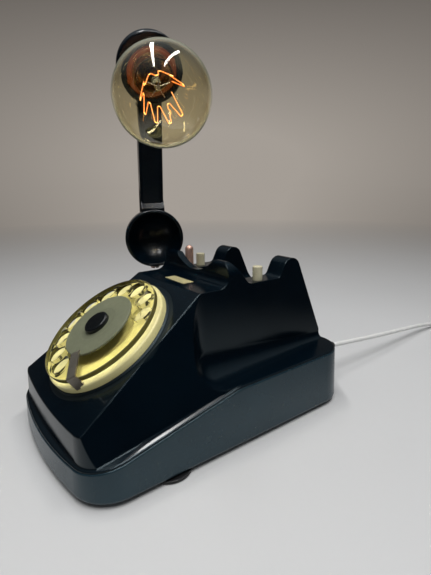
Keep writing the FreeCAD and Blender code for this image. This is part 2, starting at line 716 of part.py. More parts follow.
def copper_tube():
    """Upright tube with a domed end, and the arm soldered to its side."""
    upright = turned([(0, VALLEY_Z - 12), (TUBE_R, VALLEY_Z - 12),
                      (TUBE_R, TUBE_TOP, TUBE_R - 0.2), (0, TUBE_TOP)])
    upright.translate(Vector(*TUBE_AT, 0))
    return upright.fuse(branch_solid(BRANCH_R)).removeSplitter()


def tube_locknut():
    nut = disc(NUT_R, *NUT_Z, *TUBE_AT)
    return nut.cut(disc(TUBE_R + 0.02, 80, 110, *TUBE_AT))


def cup_nut():
    """Copper nut under the mouthpiece cup that clamps the arm's end."""
    nut = disc(3.6, -CUP_R - 2.2, -CUP_R + 4).cut(Part.makeBox(1.0, 9, 1.0, Vector(-0.5, -4.5, -CUP_R - 2.2)))
    nut.Placement = Placement(Vector(0, 0, -7.0), Rotation(X_AXIS, -90))
    return placed(nut, MOUTH_FRAME).cut(placed(cup_solid(CUP_DEPTH), MOUTH_FRAME))


def lampholder():
    body = turned([(0, -16), (HOLDER_R, -16), (HOLDER_R, -1.5, 0.6), (16.6, -1.5), (16.2, 5.5, 0.8),
                   (HOLDER_BORE, 5.5), (HOLDER_BORE, -12.5), (0, -12.5)])
    return placed(body, EAR_FRAME)


def bulb_cap():
    body = turned([(0, -12.3), (4.5, -12.3), (9.0, -9.5), (BULB_CAP_R, -8.0), (BULB_CAP_R, 11.0),
                   (BULB_CAP_R - 0.5, 11.0), (BULB_CAP_R - 0.5, -7.5), (0, -9.0)])
    return placed(body, EAR_FRAME)


def bulb_outline(radius, neck, floor):
    """Half outline of the globe: neck, soft shoulder and sphere."""
    join = 40.0
    top = BULB_CENTRE + radius
    angle = math.radians(180 - join)
    shoulder = Vector(radius * math.sin(angle), 0, BULB_CENTRE + radius * math.cos(angle))
    mouth = Vector(neck, 0, 16.0)
    foot = Vector(neck, 0, floor)
    flat = Vector(0, 0, floor)
    crown = Vector(0, 0, top)
    curve = Part.BezierCurve()
    tangent = Vector(math.cos(angle), 0, -math.sin(angle))
    curve.setPoles([mouth, mouth + Vector(0, 0, 9), shoulder + tangent * 8, shoulder])
    return Part.Wire([
        Part.LineSegment(flat, foot).toShape(), Part.LineSegment(foot, mouth).toShape(), curve.toShape(),
        Part.Arc(shoulder, Vector(radius, 0, BULB_CENTRE), crown).toShape(),
        Part.LineSegment(crown, flat).toShape()])


def bulb_glass():
    neck = BULB_CAP_R - 0.6
    outer = Part.Face(bulb_outline(BULB_R, neck, -4.0)).revolve(ORIGIN, Z_AXIS, 360)
    inner = Part.Face(bulb_outline(BULB_R - GLASS, neck - GLASS, -3.0)).revolve(ORIGIN, Z_AXIS, 360)
    return placed(outer.cut(inner), EAR_FRAME)


def bulb_stem():
    return placed(turned([(0, -2.8), (9.0, -2.8), (7.0, 8.0), (4.0, 20.0), (2.6, 34.0),
                          (2.6, 42.0), (0, 42.0)]),
                  EAR_FRAME)


FILAMENT_LOOPS = 9
FILAMENT_LOW = (9.5, 42.0)
FILAMENT_HIGH = (16.0, 82.0)
WIRE_R = 0.3


def filament():
    """Zigzag of hairpins standing round the stem."""
    points = []
    for i in range(2 * FILAMENT_LOOPS + 1):
        a = math.radians(20 + 320 * i / (2 * FILAMENT_LOOPS))
        r, z = FILAMENT_HIGH if i % 2 else FILAMENT_LOW
        points.append(Vector(r * math.cos(a), r * math.sin(a), z))
    wire = bent_path(points, [0.9] * (len(points) - 2))
    return placed(swept(wire, points[0], points[1] - points[0], WIRE_R), EAR_FRAME)


def filament_supports():
    """Fine hooks that hold the lower bends, and one pin on the stem's end."""
    pins = Part.makeCylinder(1.2, 3.0, Vector(0, 0, 42.0))
    for i in range(0, 2 * FILAMENT_LOOPS + 1, 4):
        a = math.radians(20 + 320 * i / (2 * FILAMENT_LOOPS))
        tip = Vector((FILAMENT_LOW[0] - 1.6) * math.cos(a), (FILAMENT_LOW[0] - 1.6) * math.sin(a), 43.0)
        foot = Vector(0, 0, 43.2)
        pins = pins.fuse(Part.makeCylinder(0.3, tip.distanceToPoint(foot), foot, tip - foot))
    return placed(pins.removeSplitter(), EAR_FRAME)


def bent_path(points, radii):
    """Straight runs joined by tangent arcs of the given radii at the inner points."""
    edges = []
    start = points[0]
    for i, radius in enumerate(radii, 1):
        here = points[i]
        back = (points[i - 1] - here).normalize()
        ahead = (points[i + 1] - here).normalize()
        half = back.getAngle(ahead) / 2
        reach = radius / math.tan(half)
        middle = here + (back + ahead).normalize() * (radius / math.sin(half) - radius)
        enter = here + back * reach
        leave = here + ahead * reach
        edges.append(Part.LineSegment(start, enter).toShape())
        edges.append(Part.Arc(enter, middle, leave).toShape())
        start = leave
    edges.append(Part.LineSegment(start, points[-1]).toShape())
    return Part.Wire(edges)


def swept(path, start, direction, radius):
    """Round solid swept along a path."""
    ring = Part.Wire([Part.Circle(start, direction, radius).toShape()])
    return path.makePipeShell([ring], True, False)


def cord_radii(points):
    """Largest arc at each inner point that its two runs allow."""
    radii = []
    for i in range(1, len(points) - 1):
        before = points[i] - points[i - 1]
        after = points[i + 1] - points[i]
        turn = before.getAngle(after)
        radii.append(0.45 * min(before.Length, after.Length) / math.tan(turn / 2))
    return radii


def cord_tube(name, points):
    radii = cord_radii(points)
    path = bent_path(points, radii)
    solid = swept(path, points[0], points[1] - points[0], CORD_D / 2)
    expected = math.pi * CORD_D ** 2 / 4 * path.Length
    print(name, "radii", [round(r) for r in radii], "length", round(path.Length, 1),
          "volume ratio", round(solid.Volume / expected, 4))
    return solid


def coil_outer():
    return COIL_INNER + COIL_PITCH * COIL_TURNS


def coil_turns():
    return COIL_LAYERS * COIL_TURNS


def coil_point(turns):
    """Centre line of the coil: in and out by layers, each reversal a soft half turn that climbs one layer."""
    layer = min(int(turns / COIL_TURNS), COIL_LAYERS - 1)
    within = turns - layer * COIL_TURNS
    share = within if layer % 2 else COIL_TURNS - within
    nearest = round(turns / COIL_TURNS)
    away = turns - nearest * COIL_TURNS
    rise = layer
    if 0 < nearest < COIL_LAYERS and abs(away) < 0.25:
        soft = 2 * away * away + 0.125
        share = soft if nearest % 2 else COIL_TURNS - soft
        rise = nearest - 1 + (1 - math.cos(2 * math.pi * (away + 0.25))) / 2
    radius = COIL_INNER + COIL_PITCH * share
    z = COIL_FLOOR + CORD_D / 2 + COIL_PITCH * rise
    a = math.pi - 2 * math.pi * turns
    return Vector(COIL_CENTRE[0] + radius * math.cos(a), COIL_CENTRE[1] + radius * math.sin(a), z)


def coil_tangent(turns):
    step = 1e-4
    low = max(turns - step, 0.0)
    high = min(turns + step, coil_turns())
    return (coil_point(high) - coil_point(low)).normalize()


def half_arc(start, tangent_point, stop):
    """Arc that is tangent at both ends to the lines through the tangent point."""
    middle = (start + stop) * 0.5
    half = start.distanceToPoint(stop) / 2
    reach = start.distanceToPoint(tangent_point)
    turn = math.acos(min(1.0, half / reach))
    bulge = (tangent_point - middle).normalize() * half * math.tan(turn / 2)
    return Part.Arc(start, middle + bulge, stop).toShape()


def biarc(p0, t0, p1, t1):
    """Two arcs from p0 to p1 with the given tangents."""
    gap = p1 - p0
    both = t0 + t1
    a = 2 * (1 - t0.dot(t1))
    b = 2 * gap.dot(both)
    c = gap.dot(gap)
    reach = c / b if a < 1e-9 else (-b + math.sqrt(b * b + 4 * a * c)) / (2 * a)
    q0 = p0 + t0 * reach
    q1 = p1 - t1 * reach
    join = (q0 + q1) * 0.5
    return [half_arc(p0, q0, join), half_arc(join, q1, p1)]


def coil_ends():
    """The straight stubs at the two ends of the coil, one cord diameter long."""
    last = coil_turns()
    first_dir = coil_tangent(0.0)
    last_dir = coil_tangent(last)
    return coil_point(0.0) - first_dir * CORD_D, coil_point(last) + last_dir * CORD_D, last_dir


def cord_coil():
    stops = [i * 0.25 for i in range(int(coil_turns() * 4) + 1)]
    start, stop, _ = coil_ends()
    edges = [Part.LineSegment(start, coil_point(stops[0])).toShape()]
    for a, b in zip(stops[:-1], stops[1:]):
        edges += biarc(coil_point(a), coil_tangent(a), coil_point(b), coil_tangent(b))
    edges.append(Part.LineSegment(coil_point(stops[-1]), stop).toShape())
    path = Part.Wire(edges)
    solid = swept(path, start, coil_tangent(0.0), CORD_D / 2)
    print("coil length", round(path.Length, 1), "least gap to itself", round(coil_gap(), 2), "volume ratio",
          round(solid.Volume / (math.pi * CORD_D ** 2 / 4 * path.Length), 4))
    return solid


def coil_gap():
    """Least clear distance between turns, on points half a turn or more apart."""
    count = int(coil_turns() * 48)
    points = [coil_point(i / 48) for i in range(count + 1)]
    least = 1e9
    for i in range(len(points)):
        for j in range(i + 24, len(points)):
            least = min(least, points[i].distanceToPoint(points[j]))
    return least - CORD_D


def coil_tie():
    """Soft band round the bundle of turns."""
    low = 0.0
    inner = COIL_INNER - CORD_D / 2 - 0.4
    outer = coil_outer() + CORD_D / 2 + 0.4
    high = COIL_FLOOR + CORD_D + COIL_PITCH * (COIL_LAYERS - 1) + 0.4
    band = 0.9
    ring = prism([(inner - band, low, 2.5), (outer + band, low, 2.5), (outer + band, high + band, 2.5),
                  (inner - band, high + band, 2.5)], "xz", -5, 5)
    hole = prism([(inner, low + band, 1.6), (outer, low + band, 1.6), (outer, high, 1.6),
                  (inner, high, 1.6)], "xz", -6, 6)
    tie = ring.cut(hole)
    tie.translate(Vector(*COIL_CENTRE, 0))
    return tie


def cord_route():
    """Free stretch: straight out of the strain relief, down to the table and on to the coil."""
    start, _, _ = coil_ends()
    lead = start - coil_tangent(0.0) * 20
    return [CORD_EXIT, Vector(36.2, 170, 22.9), Vector(35.8, 214, 18.0), Vector(34.0, 258, 12.9),
            Vector(32.4, 302, 7.8), Vector(35.5, 338, lead.z), lead, start]


def tail_route():
    """Short end from the top of the coil down to the plug."""
    _, stop, heading = coil_ends()
    return [stop, stop + heading * 14 + Vector(0, 0, -1.2), stop + heading * 28 + Vector(1.5, 0, -5.5),
            stop + heading * 40 + Vector(4.5, 0, -7.5)]


def tail_end():
    points = tail_route()
    return points[-1], (points[-1] - points[-2]).normalize()


def plug_frame():
    tip, heading = tail_end()
    x = Z_AXIS.cross(heading).normalize()
    return axes_frame(tip, x, heading.cross(x), heading)


def plug():
    """Flat moulded two-pin plug with a short grip."""
    sections = ((0, 3.2, 3.0), (9, 4.2, 3.6), (13, 8.6, 4.8), (24, 10.2, 5.4), (33, 9.0, 5.0))
    wires = []
    for z, half_w, half_h in sections:
        wire = rounded_wire([(-half_w, -half_h, 2.2), (half_w, -half_h, 2.2), (half_w, half_h, 2.2),
                             (-half_w, half_h, 2.2)], "xy")
        wire.translate(Vector(0, 0, z))
        wires.append(wire)
    return placed(Part.makeLoft(wires, True, True), plug_frame())


def plug_pins():
    pins = []
    for x in (-4.6, 4.6):
        pin = Part.makeCylinder(2.0, 17.0, Vector(x, 0, 33.0)).fuse(Part.makeSphere(2.0, Vector(x, 0, 50.0)))
        pins.append(placed(pin.removeSplitter(), plug_frame()))
    return Part.makeCompound(pins)


def strain_relief():
    """Tapered sleeve through the rear wall of the base, with a nut-like collar inside."""
    y = BASE_LENGTH / 2 - BASE_DRAFT * (CORD_EXIT.z - FOOT_HEIGHT)
    length = CORD_EXIT.y - y
    lean = 8 * BASE_DRAFT + 0.1
    inside = -TRAY_WALL - lean
    body = turned([(0, inside - 2), (8, inside - 2), (8, inside), (5.9, inside), (5.9, lean),
                   (7.4, lean), (7.4, 2.9, 0.6), (4.8, 4.4), (3.1, length), (0, length)])
    body.Placement = Placement(Vector(CORD_EXIT.x, y, CORD_EXIT.z), Rotation(X_AXIS, -90))
    return body


def dial_part(maker):
    return placed(maker(), DIAL_FRAME)


def build():
    parts = {
        "base_tray": base_tray(), "rubber_feet": rubber_feet(), "base_screws": base_screws(),
        "housing": housing(), "name_card": name_card(),
        "number_plate": dial_part(number_plate), "finger_wheel": dial_part(finger_wheel),
        "centre_disc": dial_part(centre_disc), "hub_cap": dial_part(hub_cap),
        "dial_shaft": dial_part(dial_shaft), "dial_gear": dial_part(dial_gear),
        "pulse_pinion": dial_part(pulse_pinion), "pulse_cam": dial_part(pulse_cam),
        "dial_frame": dial_part(dial_frame), "finger_stop": dial_part(finger_stop),
        "plunger_left": plunger(-1), "plunger_right": plunger(1), "hook_bail": hook_bail(),
        "hook_switch": hook_switch(), "volume_wheel": volume_wheel(), "volume_cam": volume_cam(),
        "ringer_bracket": ringer_bracket(), "gong_left": gong(-1), "gong_right": gong(1),
        "ringer_coils": ringer_coils(), "clapper": clapper(), "terminal_block": terminal_block(),
        "copper_tube": copper_tube(), "tube_locknut": tube_locknut(), "cup_nut": cup_nut(),
        "mouth_cup": mouth_cup(), "handle": handle(), "ear_cup": ear_cup(), "lampholder": lampholder(),
        "bulb_cap": bulb_cap(), "bulb_glass": bulb_glass(), "bulb_stem": bulb_stem(),
        "filament": filament(), "filament_supports": filament_supports(),
        "strain_relief": strain_relief(), "cord_free": cord_tube("cord_free", cord_route()),
        "cord_coil": cord_coil(), "cord_tail": cord_tube("cord_tail", tail_route()),
        "coil_tie": coil_tie(), "plug": plug(), "plug_pins": plug_pins(),
    }
    os.makedirs("parts", exist_ok=True)
    for name, shape in parts.items():
        if not shape.isValid():
            print("not valid:", name)
        shape.translate(ROW_SHIFT)
        shape.exportStep("parts/" + name + ".step")


build()
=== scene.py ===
import json
import math

import bmesh
import bpy
from mathutils import Matrix, Vector


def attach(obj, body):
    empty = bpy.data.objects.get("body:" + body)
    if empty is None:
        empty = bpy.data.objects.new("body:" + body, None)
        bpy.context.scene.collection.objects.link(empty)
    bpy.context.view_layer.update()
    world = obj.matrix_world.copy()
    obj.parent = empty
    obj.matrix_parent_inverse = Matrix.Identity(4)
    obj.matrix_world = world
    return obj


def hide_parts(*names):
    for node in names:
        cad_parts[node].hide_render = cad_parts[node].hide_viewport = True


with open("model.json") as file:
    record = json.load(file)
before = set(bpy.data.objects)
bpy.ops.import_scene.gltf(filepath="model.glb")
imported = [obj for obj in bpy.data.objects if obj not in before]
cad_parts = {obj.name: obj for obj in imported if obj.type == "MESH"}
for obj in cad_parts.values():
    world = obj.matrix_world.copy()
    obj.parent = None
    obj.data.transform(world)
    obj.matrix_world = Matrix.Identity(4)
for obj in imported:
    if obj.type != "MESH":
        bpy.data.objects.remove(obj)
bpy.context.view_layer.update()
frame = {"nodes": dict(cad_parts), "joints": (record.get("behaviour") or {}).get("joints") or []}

bl_info = {
    "name": "Dial telephone lamp",
    "version": (1, 0, 0),
    "blender": (4, 5, 0),
    "location": "3D View > Sidebar > Telephone lamp",
    "description": "Finishes, figures, cord and stage of a dial telephone turned into a lamp",
    "category": "Object",
}

NODES = frame["nodes"]
JOINTS = {j["name"]: j for j in frame["joints"]}
MM = 0.001

# The dial's own frame: Z out of the panel, Y up the slope
DIAL_Z = -Vector(JOINTS["dial_turn"]["axis"]).normalized()
DIAL_X = Vector((1.0, 0.0, 0.0))
DIAL_Y = DIAL_Z.cross(DIAL_X)
DIAL_AT = Vector(JOINTS["dial_turn"]["pos_m"])
DIAL = Matrix.Translation(DIAL_AT) @ Matrix((DIAL_X, DIAL_Y, DIAL_Z)).transposed().to_4x4()
HOLE_FIRST_DEG = 51.0
HOLE_STEP_DEG = 25.7
FIGURES = "1234567890"
# (radius, height) points of the number plate in millimetres
PLATE_OUTLINE = (
    (9.0, 1.6), (45.0, 1.6), (45.0, 5.6), (44.85, 6.1), (44.5, 6.5), (44.0, 6.7),
    (43.4, 6.8), (30.0, 6.7), (29.0, 6.5), (26.5, 3.8), (25.8, 3.5), (9.0, 3.5))
PLATE_STEPS = 144
PLATE_SHARP_DEG = 28.0
# Distances from the dial's axis, in metres, over which a finish changes
WELL_EDGE = (0.0485, 0.0500)
# Where the finger wheel's outer edge takes its painted shade, the darkness seen through its clear
# edge
WHEEL_EDGE_SHADE = (0.0424, 0.0427)
DISC_DARK_MIDDLE = (0.0125, 0.0145)
DISC_STEP = (0.0128, 0.0140)

# From the part's own place to its place in the frame
ROW_SHIFT = Vector((4.26, 2.01, 0.0)) * MM

# The housing's flange along the seam, which rises towards the back, in the part's own millimetres
FLANGE_HALF_WIDTH = 70.5
FLANGE_HALF_LENGTH = 108.5
FLANGE_CORNER = 24.5
FLANGE_DRAFT = 0.045
FLANGE_FOOT = 2.4
FLANGE_SLOPE = 0.21339
FLANGE_LEVEL = 44.454
# Where the chamfered strip starts, is whole, begins to fade and stops
CHAMFER_SPAN = (-88.0, -70.0, -18.0, -14.0)
CHAMFER_STEPS = 40
# (distance in from the flange's edge, rise over the flange), and the least share of the width
CHAMFER_SECTION = ((0.65, -0.12), (2.00, 0.83), (6.0, 0.83), (6.0, -0.6), (0.85, -0.6))
CHAMFER_LEAST = 0.1
CHAMFER_SHARP_DEG = 20.0

# Small details that repeat
KNURL_COUNT = 96
KNURL_RADIUS = 13.9 * MM
KNURL_ROD_RADIUS = 0.28 * MM
KNURL_ROD_HEIGHT = 1.5 * MM
RIB_COUNT = 6
RIB_START = Vector((36.0, 116.2, 27.2)) * MM + ROW_SHIFT
RIB_STEP = (0.0, 2.6 * MM, 0.0)
RIB_RADIUS = 4.65 * MM
RIB_THICKNESS = 0.6 * MM
RIB_END_SHARE = 0.72

# The mains cord, as the route runs in the part's source
CORD_EXIT = Vector((36.0, 133.0, 27.2)) * MM
CORD_FREE = ((36.2, 170, 22.9), (35.8, 214, 18.0), (34.0, 258, 12.9), (32.4, 302, 7.8))
CORD_BEND = (35.5, 338)
COIL_LEAD = 20
# (distance past the coil, shift) of the tail's points
CORD_TAIL = ((14, (0, 0, -1.2)), (28, (1.5, 0, -5.5)), (40, (4.5, 0, -7.5)))
COIL_CENTRE = Vector((78.0, 388.0)) * MM
COIL_INNER = 18.7 * MM
COIL_PITCH = 4.8 * MM
COIL_LAYERS = 4
COIL_TURNS = 2.25
COIL_FLOOR = 1.0 * MM
COIL_STEPS = 16
COIL_SOFT = 0.25

# The bulb's globe: its middle, and the distance from it at which the neck begins
GLOBE_AT = (0.0201, -0.0204, 0.2224)
GLOBE_END = (0.032, 0.034)

# Lesser finishes: a colour with the roughness range of its polish
STEEL = ((0.42, 0.42, 0.41), (0.25, 0.45))
MECHANISM_STEEL = ((0.48, 0.48, 0.47), (0.25, 0.45))
STOP_STEEL = ((0.40, 0.36, 0.30), (0.40, 0.58))
SUPPORT_WIRE = ((0.5, 0.48, 0.44), (0.2, 0.35))
NUT_BRASS = ((0.62, 0.46, 0.20), (0.22, 0.40))
MECHANISM_BRASS = ((0.62, 0.46, 0.20), (0.2, 0.38))
CAP_BRASS = ((0.62, 0.42, 0.18), (0.2, 0.38))
PIN_BRASS = ((0.66, 0.55, 0.30), (0.18, 0.35))
WHEEL_BLACK = ((0.010, 0.010, 0.011), (0.30, 0.42))
HUB_BLACK = ((0.004, 0.005, 0.006), (0.16, 0.26))
MECHANISM_BLACK = ((0.012, 0.012, 0.012), (0.40, 0.55))
HOLDER_BROWN = ((0.10, 0.028, 0.010), (0.25, 0.38))
# Roughness ranges of the finishes whose colours are settings
SHELL_POLISH = (0.15, 0.21)
TRAY_POLISH = (0.22, 0.30)
HANDSET_POLISH = (0.18, 0.27)
COPPER_POLISH = (0.38, 0.55)
INK_POLISH = (0.45, 0.6)
# Colours of rubber and of yellowed plastic
FOOT_RUBBER = (0.012, 0.012, 0.012)
TIE_RUBBER = (0.02, 0.02, 0.02)
SLEEVE_RUBBER = (0.014, 0.014, 0.015)
PLUNGER_CREAM = (0.56, 0.52, 0.36)
CARD_CREAM = (0.46, 0.41, 0.22)
# Colours of the bulb, and of the painted glow that its light gives the lampholder
GLASS_TINTS = ((0.93, 0.87, 0.66), (0.96, 0.91, 0.74))
GLASS_PAINTED_SHEEN = (0.95, 0.96, 0.70)
WIRE_HOT = (1.0, 0.80, 0.30)
WIRE_EDGE = (0.42, 0.075, 0.006)
WIRE_BASE = (0.4, 0.18, 0.05)
WIRE_STRENGTH = 3.2
# Painted glow: the lampholder is no lamp; this light stands in for the filament's light falling
# inside it
HOLDER_PAINTED_GLOW = (0.42, 0.085, 0.006)
HOLDER_PAINTED_GLOW_STRENGTH = 0.26

# The photograph's frame
PHOTO_SIZE = (431, 575)
PHOTO_FOCAL = 415.8
CAMERA_AT = (0.25726, -0.15989, 0.1726)
CAMERA_YAW = 53.02
CAMERA_PITCH = 14.52
CAMERA_ROLL = 0.5

# The room: two long ceiling lamps and the lit patch of wall behind the table
CEILING = 1.25
TUBES = (((-0.52, 0.11), (0.62, -0.72)), ((0.06, 0.48), (0.85, -0.37)))
TUBE_WIDTH = 0.08
SOFT_LIGHT = (0.94, 0.97, 1.0)
PATCH_WAY = (-0.797, 0.600, 0.03)
PATCH_CORE = 0.20
# Share of light left far from the patch, its reach and its squash, as seen and in gloss
WALL_SEEN = (0.36, 0.90, 2.5)
WALL_IN_GLOSS = (0.03, 1.35, 3.6)
CEILING_BAND = (0.40, 0.80)
# The table: half its side, and where it passes into the wall's colour, as seen and in gloss
TABLE_HALF = 8.0
TABLE_SEEN_FADE = (0.30, 1.60)
TABLE_GLOSS_FADE = (0.12, 0.34)
TABLE_GLOSS_SHARE = 0.04


class Finishes(bpy.types.PropertyGroup):
    """Colours of the visible surfaces."""

    # The blue in these blacks is a painted cast of bluish shade; the plastic itself is neutral
    # black
    shell: bpy.props.FloatVectorProperty(
        name="Shell", description="Black moulded plastic of the housing and the handset",
        subtype="COLOR", size=3, min=0, max=1, default=(0.0007, 0.0034, 0.0066))
    tray: bpy.props.FloatVectorProperty(
        name="Base", description="Black moulded plastic of the base tray",
        subtype="COLOR", size=3, min=0, max=1, default=(0.0060, 0.0205, 0.0310))
    cream: bpy.props.FloatVectorProperty(
        name="Cream", description="Yellowed plastic of the number plate",
        subtype="COLOR", size=3, min=0, max=1, default=(0.74, 0.67, 0.32))
    clear: bpy.props.FloatVectorProperty(
        name="Clear plastic", description="Yellowed clear plastic of the finger wheel",
        subtype="COLOR", size=3, min=0, max=1, default=(0.93, 0.90, 0.64))
    # Painted shade: colour standing in for the darkness seen through the wheel's clear outer edge
    edge: bpy.props.FloatVectorProperty(
        name="Wheel edge shade", description="Painted shade along the edge of the finger wheel",
        subtype="COLOR", size=3, min=0, max=1, default=(0.10, 0.09, 0.028))
    disc: bpy.props.FloatVectorProperty(
        name="Centre disc", description="Matt grey-green disc in the middle of the dial",
        subtype="COLOR", size=3, min=0, max=1, default=(0.165, 0.176, 0.112))
    ink: bpy.props.FloatVectorProperty(
        name="Figures", description="Dark olive print of the dial's figures",
        subtype="COLOR", size=3, min=0, max=1, default=(0.022, 0.020, 0.006))
    copper: bpy.props.FloatVectorProperty(
        name="Copper", description="Bare copper of the tube",
        subtype="COLOR", size=3, min=0, max=1, default=(0.88, 0.55, 0.44))
    cord: bpy.props.FloatVectorProperty(
        name="Cord", description="White flex",
        subtype="COLOR", size=3, min=0, max=1, default=(0.80, 0.80, 0.78))
    glow: bpy.props.FloatVectorProperty(
        name="Filament glow", description="Light of the filament",
        subtype="COLOR", size=3, min=0, max=1, default=(1.0, 0.42, 0.07))


class DialPrint(bpy.types.PropertyGroup):
    """Sizes of the figures on the number plate."""

    circle: bpy.props.FloatProperty(
        name="Circle", description="Radius on which the figures stand",
        unit="LENGTH", default=0.0372)
    height: bpy.props.FloatProperty(
        name="Height", description="Size of a figure", unit="LENGTH", default=0.0122)
    level: bpy.props.FloatProperty(
        name="Level", description="Height of the print over the panel",
        unit="LENGTH", default=0.00682)
    relief: bpy.props.FloatProperty(
        name="Relief", description="Thickness of the print", unit="LENGTH", default=0.00005)
    weight: bpy.props.FloatProperty(
        name="Weight", description="How far the strokes are thickened",
        unit="LENGTH", default=0.00035)


class CordSizes(bpy.types.PropertyGroup):
    """Sizes of the mains cord."""

    diameter: bpy.props.FloatProperty(
        name="Diameter", description="Thickness of the flex", unit="LENGTH", default=0.0042)
    length: bpy.props.FloatProperty(
        name="Length", description="Whole length of the free cord", unit="LENGTH", default=1.67)


class StageLook(bpy.types.PropertyGroup):
    """Floor, background and lamps."""

    floor: bpy.props.FloatVectorProperty(
        name="Floor", description="Pale table top",
        subtype="COLOR", size=3, min=0, max=1, default=(0.60, 0.60, 0.60))
    wall: bpy.props.FloatVectorProperty(
        name="Background", description="Warm grey behind the table",
        subtype="COLOR", size=3, min=0, max=1, default=(0.37, 0.335, 0.30))
    ceiling: bpy.props.FloatVectorProperty(
        name="Ceiling", description="Dim ceiling that gloss shows",
        subtype="COLOR", size=3, min=0, max=1, default=(0.22, 0.25, 0.27))
    world: bpy.props.FloatProperty(
        name="World light", description="Strength of the even light", min=0, default=0.15)
    tubes: bpy.props.FloatProperty(
        name="Ceiling tubes", description="Power of the two long lamps", unit="POWER", default=9.2)


def settings():
    """The scene's settings of this add-on."""
    return bpy.context.scene.telephone_lamp


def main_shader(material):
    """Principled shader of a material."""
    return material.node_tree.nodes["Principled BSDF"]


def begin_finish(name):
    """New material, with its node tree, main shader and object coordinates."""
    material = bpy.data.materials.new(name)
    material.use_nodes = True
    tree = material.node_tree
    place = tree.nodes.new("ShaderNodeTexCoord")
    return material, tree, main_shader(material), place.outputs["Object"]


def noise(tree, place, scale, detail=3.0):
    """Noise pattern at a place."""
    node = tree.nodes.new("ShaderNodeTexNoise")
    node.inputs["Scale"].default_value = scale
    node.inputs["Detail"].default_value = detail
    tree.links.new(place, node.inputs["Vector"])
    return node.outputs["Fac"]


def spread(tree, value, low, high, from_low=0.3, from_high=0.7):
    """Map a pattern's range on to a working range, held at its ends."""
    node = tree.nodes.new("ShaderNodeMapRange")
    node.inputs["From Min"].default_value = from_low
    node.inputs["From Max"].default_value = from_high
    node.inputs["To Min"].default_value = low
    node.inputs["To Max"].default_value = high
    tree.links.new(value, node.inputs["Value"])
    return node.outputs["Result"]


def blend_colours(tree, factor, first, second):
    """Two colours, each a socket or a value, mixed by a factor."""
    node = tree.nodes.new("ShaderNodeMix")
    node.data_type = "RGBA"
    for socket, colour in (("A", first), ("B", second)):
        target = [s for s in node.inputs if s.name == socket and s.type == "RGBA"][0]
        if isinstance(colour, bpy.types.NodeSocket):
            tree.links.new(colour, target)
        else:
            target.default_value = (*colour, 1.0)
    tree.links.new(factor, node.inputs["Factor"])
    return [s for s in node.outputs if s.type == "RGBA"][0]


def grain(tree, shader, pattern, strength, depth, edge=0.0):
    """Fine relief from a pattern, over edges that are rounded by a radius."""
    node = tree.nodes.new("ShaderNodeBump")
    node.inputs["Strength"].default_value = strength
    node.inputs["Distance"].default_value = depth
    tree.links.new(pattern, node.inputs["Height"])
    tree.links.new(node.outputs["Normal"], shader.inputs["Normal"])
    if edge:
        round_edge = tree.nodes.new("ShaderNodeBevel")
        round_edge.samples = 6
        if isinstance(edge, bpy.types.NodeSocket):
            tree.links.new(edge, round_edge.inputs["Radius"])
        else:
            round_edge.inputs["Radius"].default_value = edge
        tree.links.new(round_edge.outputs["Normal"], node.inputs["Normal"])


def on_dial(tree, place):
    """Object coordinates turned into the dial's own frame."""
    turn = tree.nodes.new("ShaderNodeMapping")
    back = DIAL.inverted()
    turn.inputs["Location"].default_value = back.to_translation()
    turn.inputs["Rotation"].default_value = back.to_euler()
    tree.links.new(place, turn.inputs["Vector"])
    return turn.outputs["Vector"]


def from_axis(tree, place):
    """Distance from the Z axis."""
    flat = tree.nodes.new("ShaderNodeVectorMath")
    flat.operation = "MULTIPLY"
    flat.inputs[1].default_value = (1.0, 1.0, 0.0)
    tree.links.new(place, flat.inputs[0])
    length = tree.nodes.new("ShaderNodeVectorMath")
    length.operation = "LENGTH"
    tree.links.new(flat.outputs["Vector"], length.inputs[0])
    return length.outputs["Value"]


def shade(colour, share):
    """A share of a colour."""
    return tuple(c * share for c in colour)


def moulded(name, colour, rough, edge=0.0008):
    """Moulded plastic with faint clouding, fine dust, an uneven polish and rounded edges."""
    material, tree, shader, place = begin_finish(name)
    polish = clouded(tree, shader, place, colour, rough)
    tree.links.new(polish, shader.inputs["Roughness"])
    grain(tree, shader, noise(tree, place, 180.0, 2.0), 0.02, 0.0001, edge)
    return material


def clouded(tree, shader, place, colour, rough):
    """Colour a plastic with clouds and dust; the result is its uneven polish."""
    cloud = spread(tree, noise(tree, place, 30.0), 0.0, 1.0)
    dust = spread(tree, noise(tree, place, 700.0, 1.0), 0.0, 0.4, 0.66, 0.82)
    base = blend_colours(tree, cloud, shade(colour, 0.9), shade(colour, 1.15))
    base = blend_colours(tree, dust, base, shade(colour, 1.6))
    tree.links.new(base, shader.inputs["Base Color"])
    return spread(tree, noise(tree, place, 45.0, 5.0), rough[0], rough[1])


def combine(tree, operation, first, second):
    """Two values, each a socket or a number, put together."""
    node = tree.nodes.new("ShaderNodeMath")
    node.operation = operation
    for socket, value in zip(node.inputs, (first, second)):
        if isinstance(value, bpy.types.NodeSocket):
            tree.links.new(value, socket)
        else:
            socket.default_value = value
    return node.outputs[0]


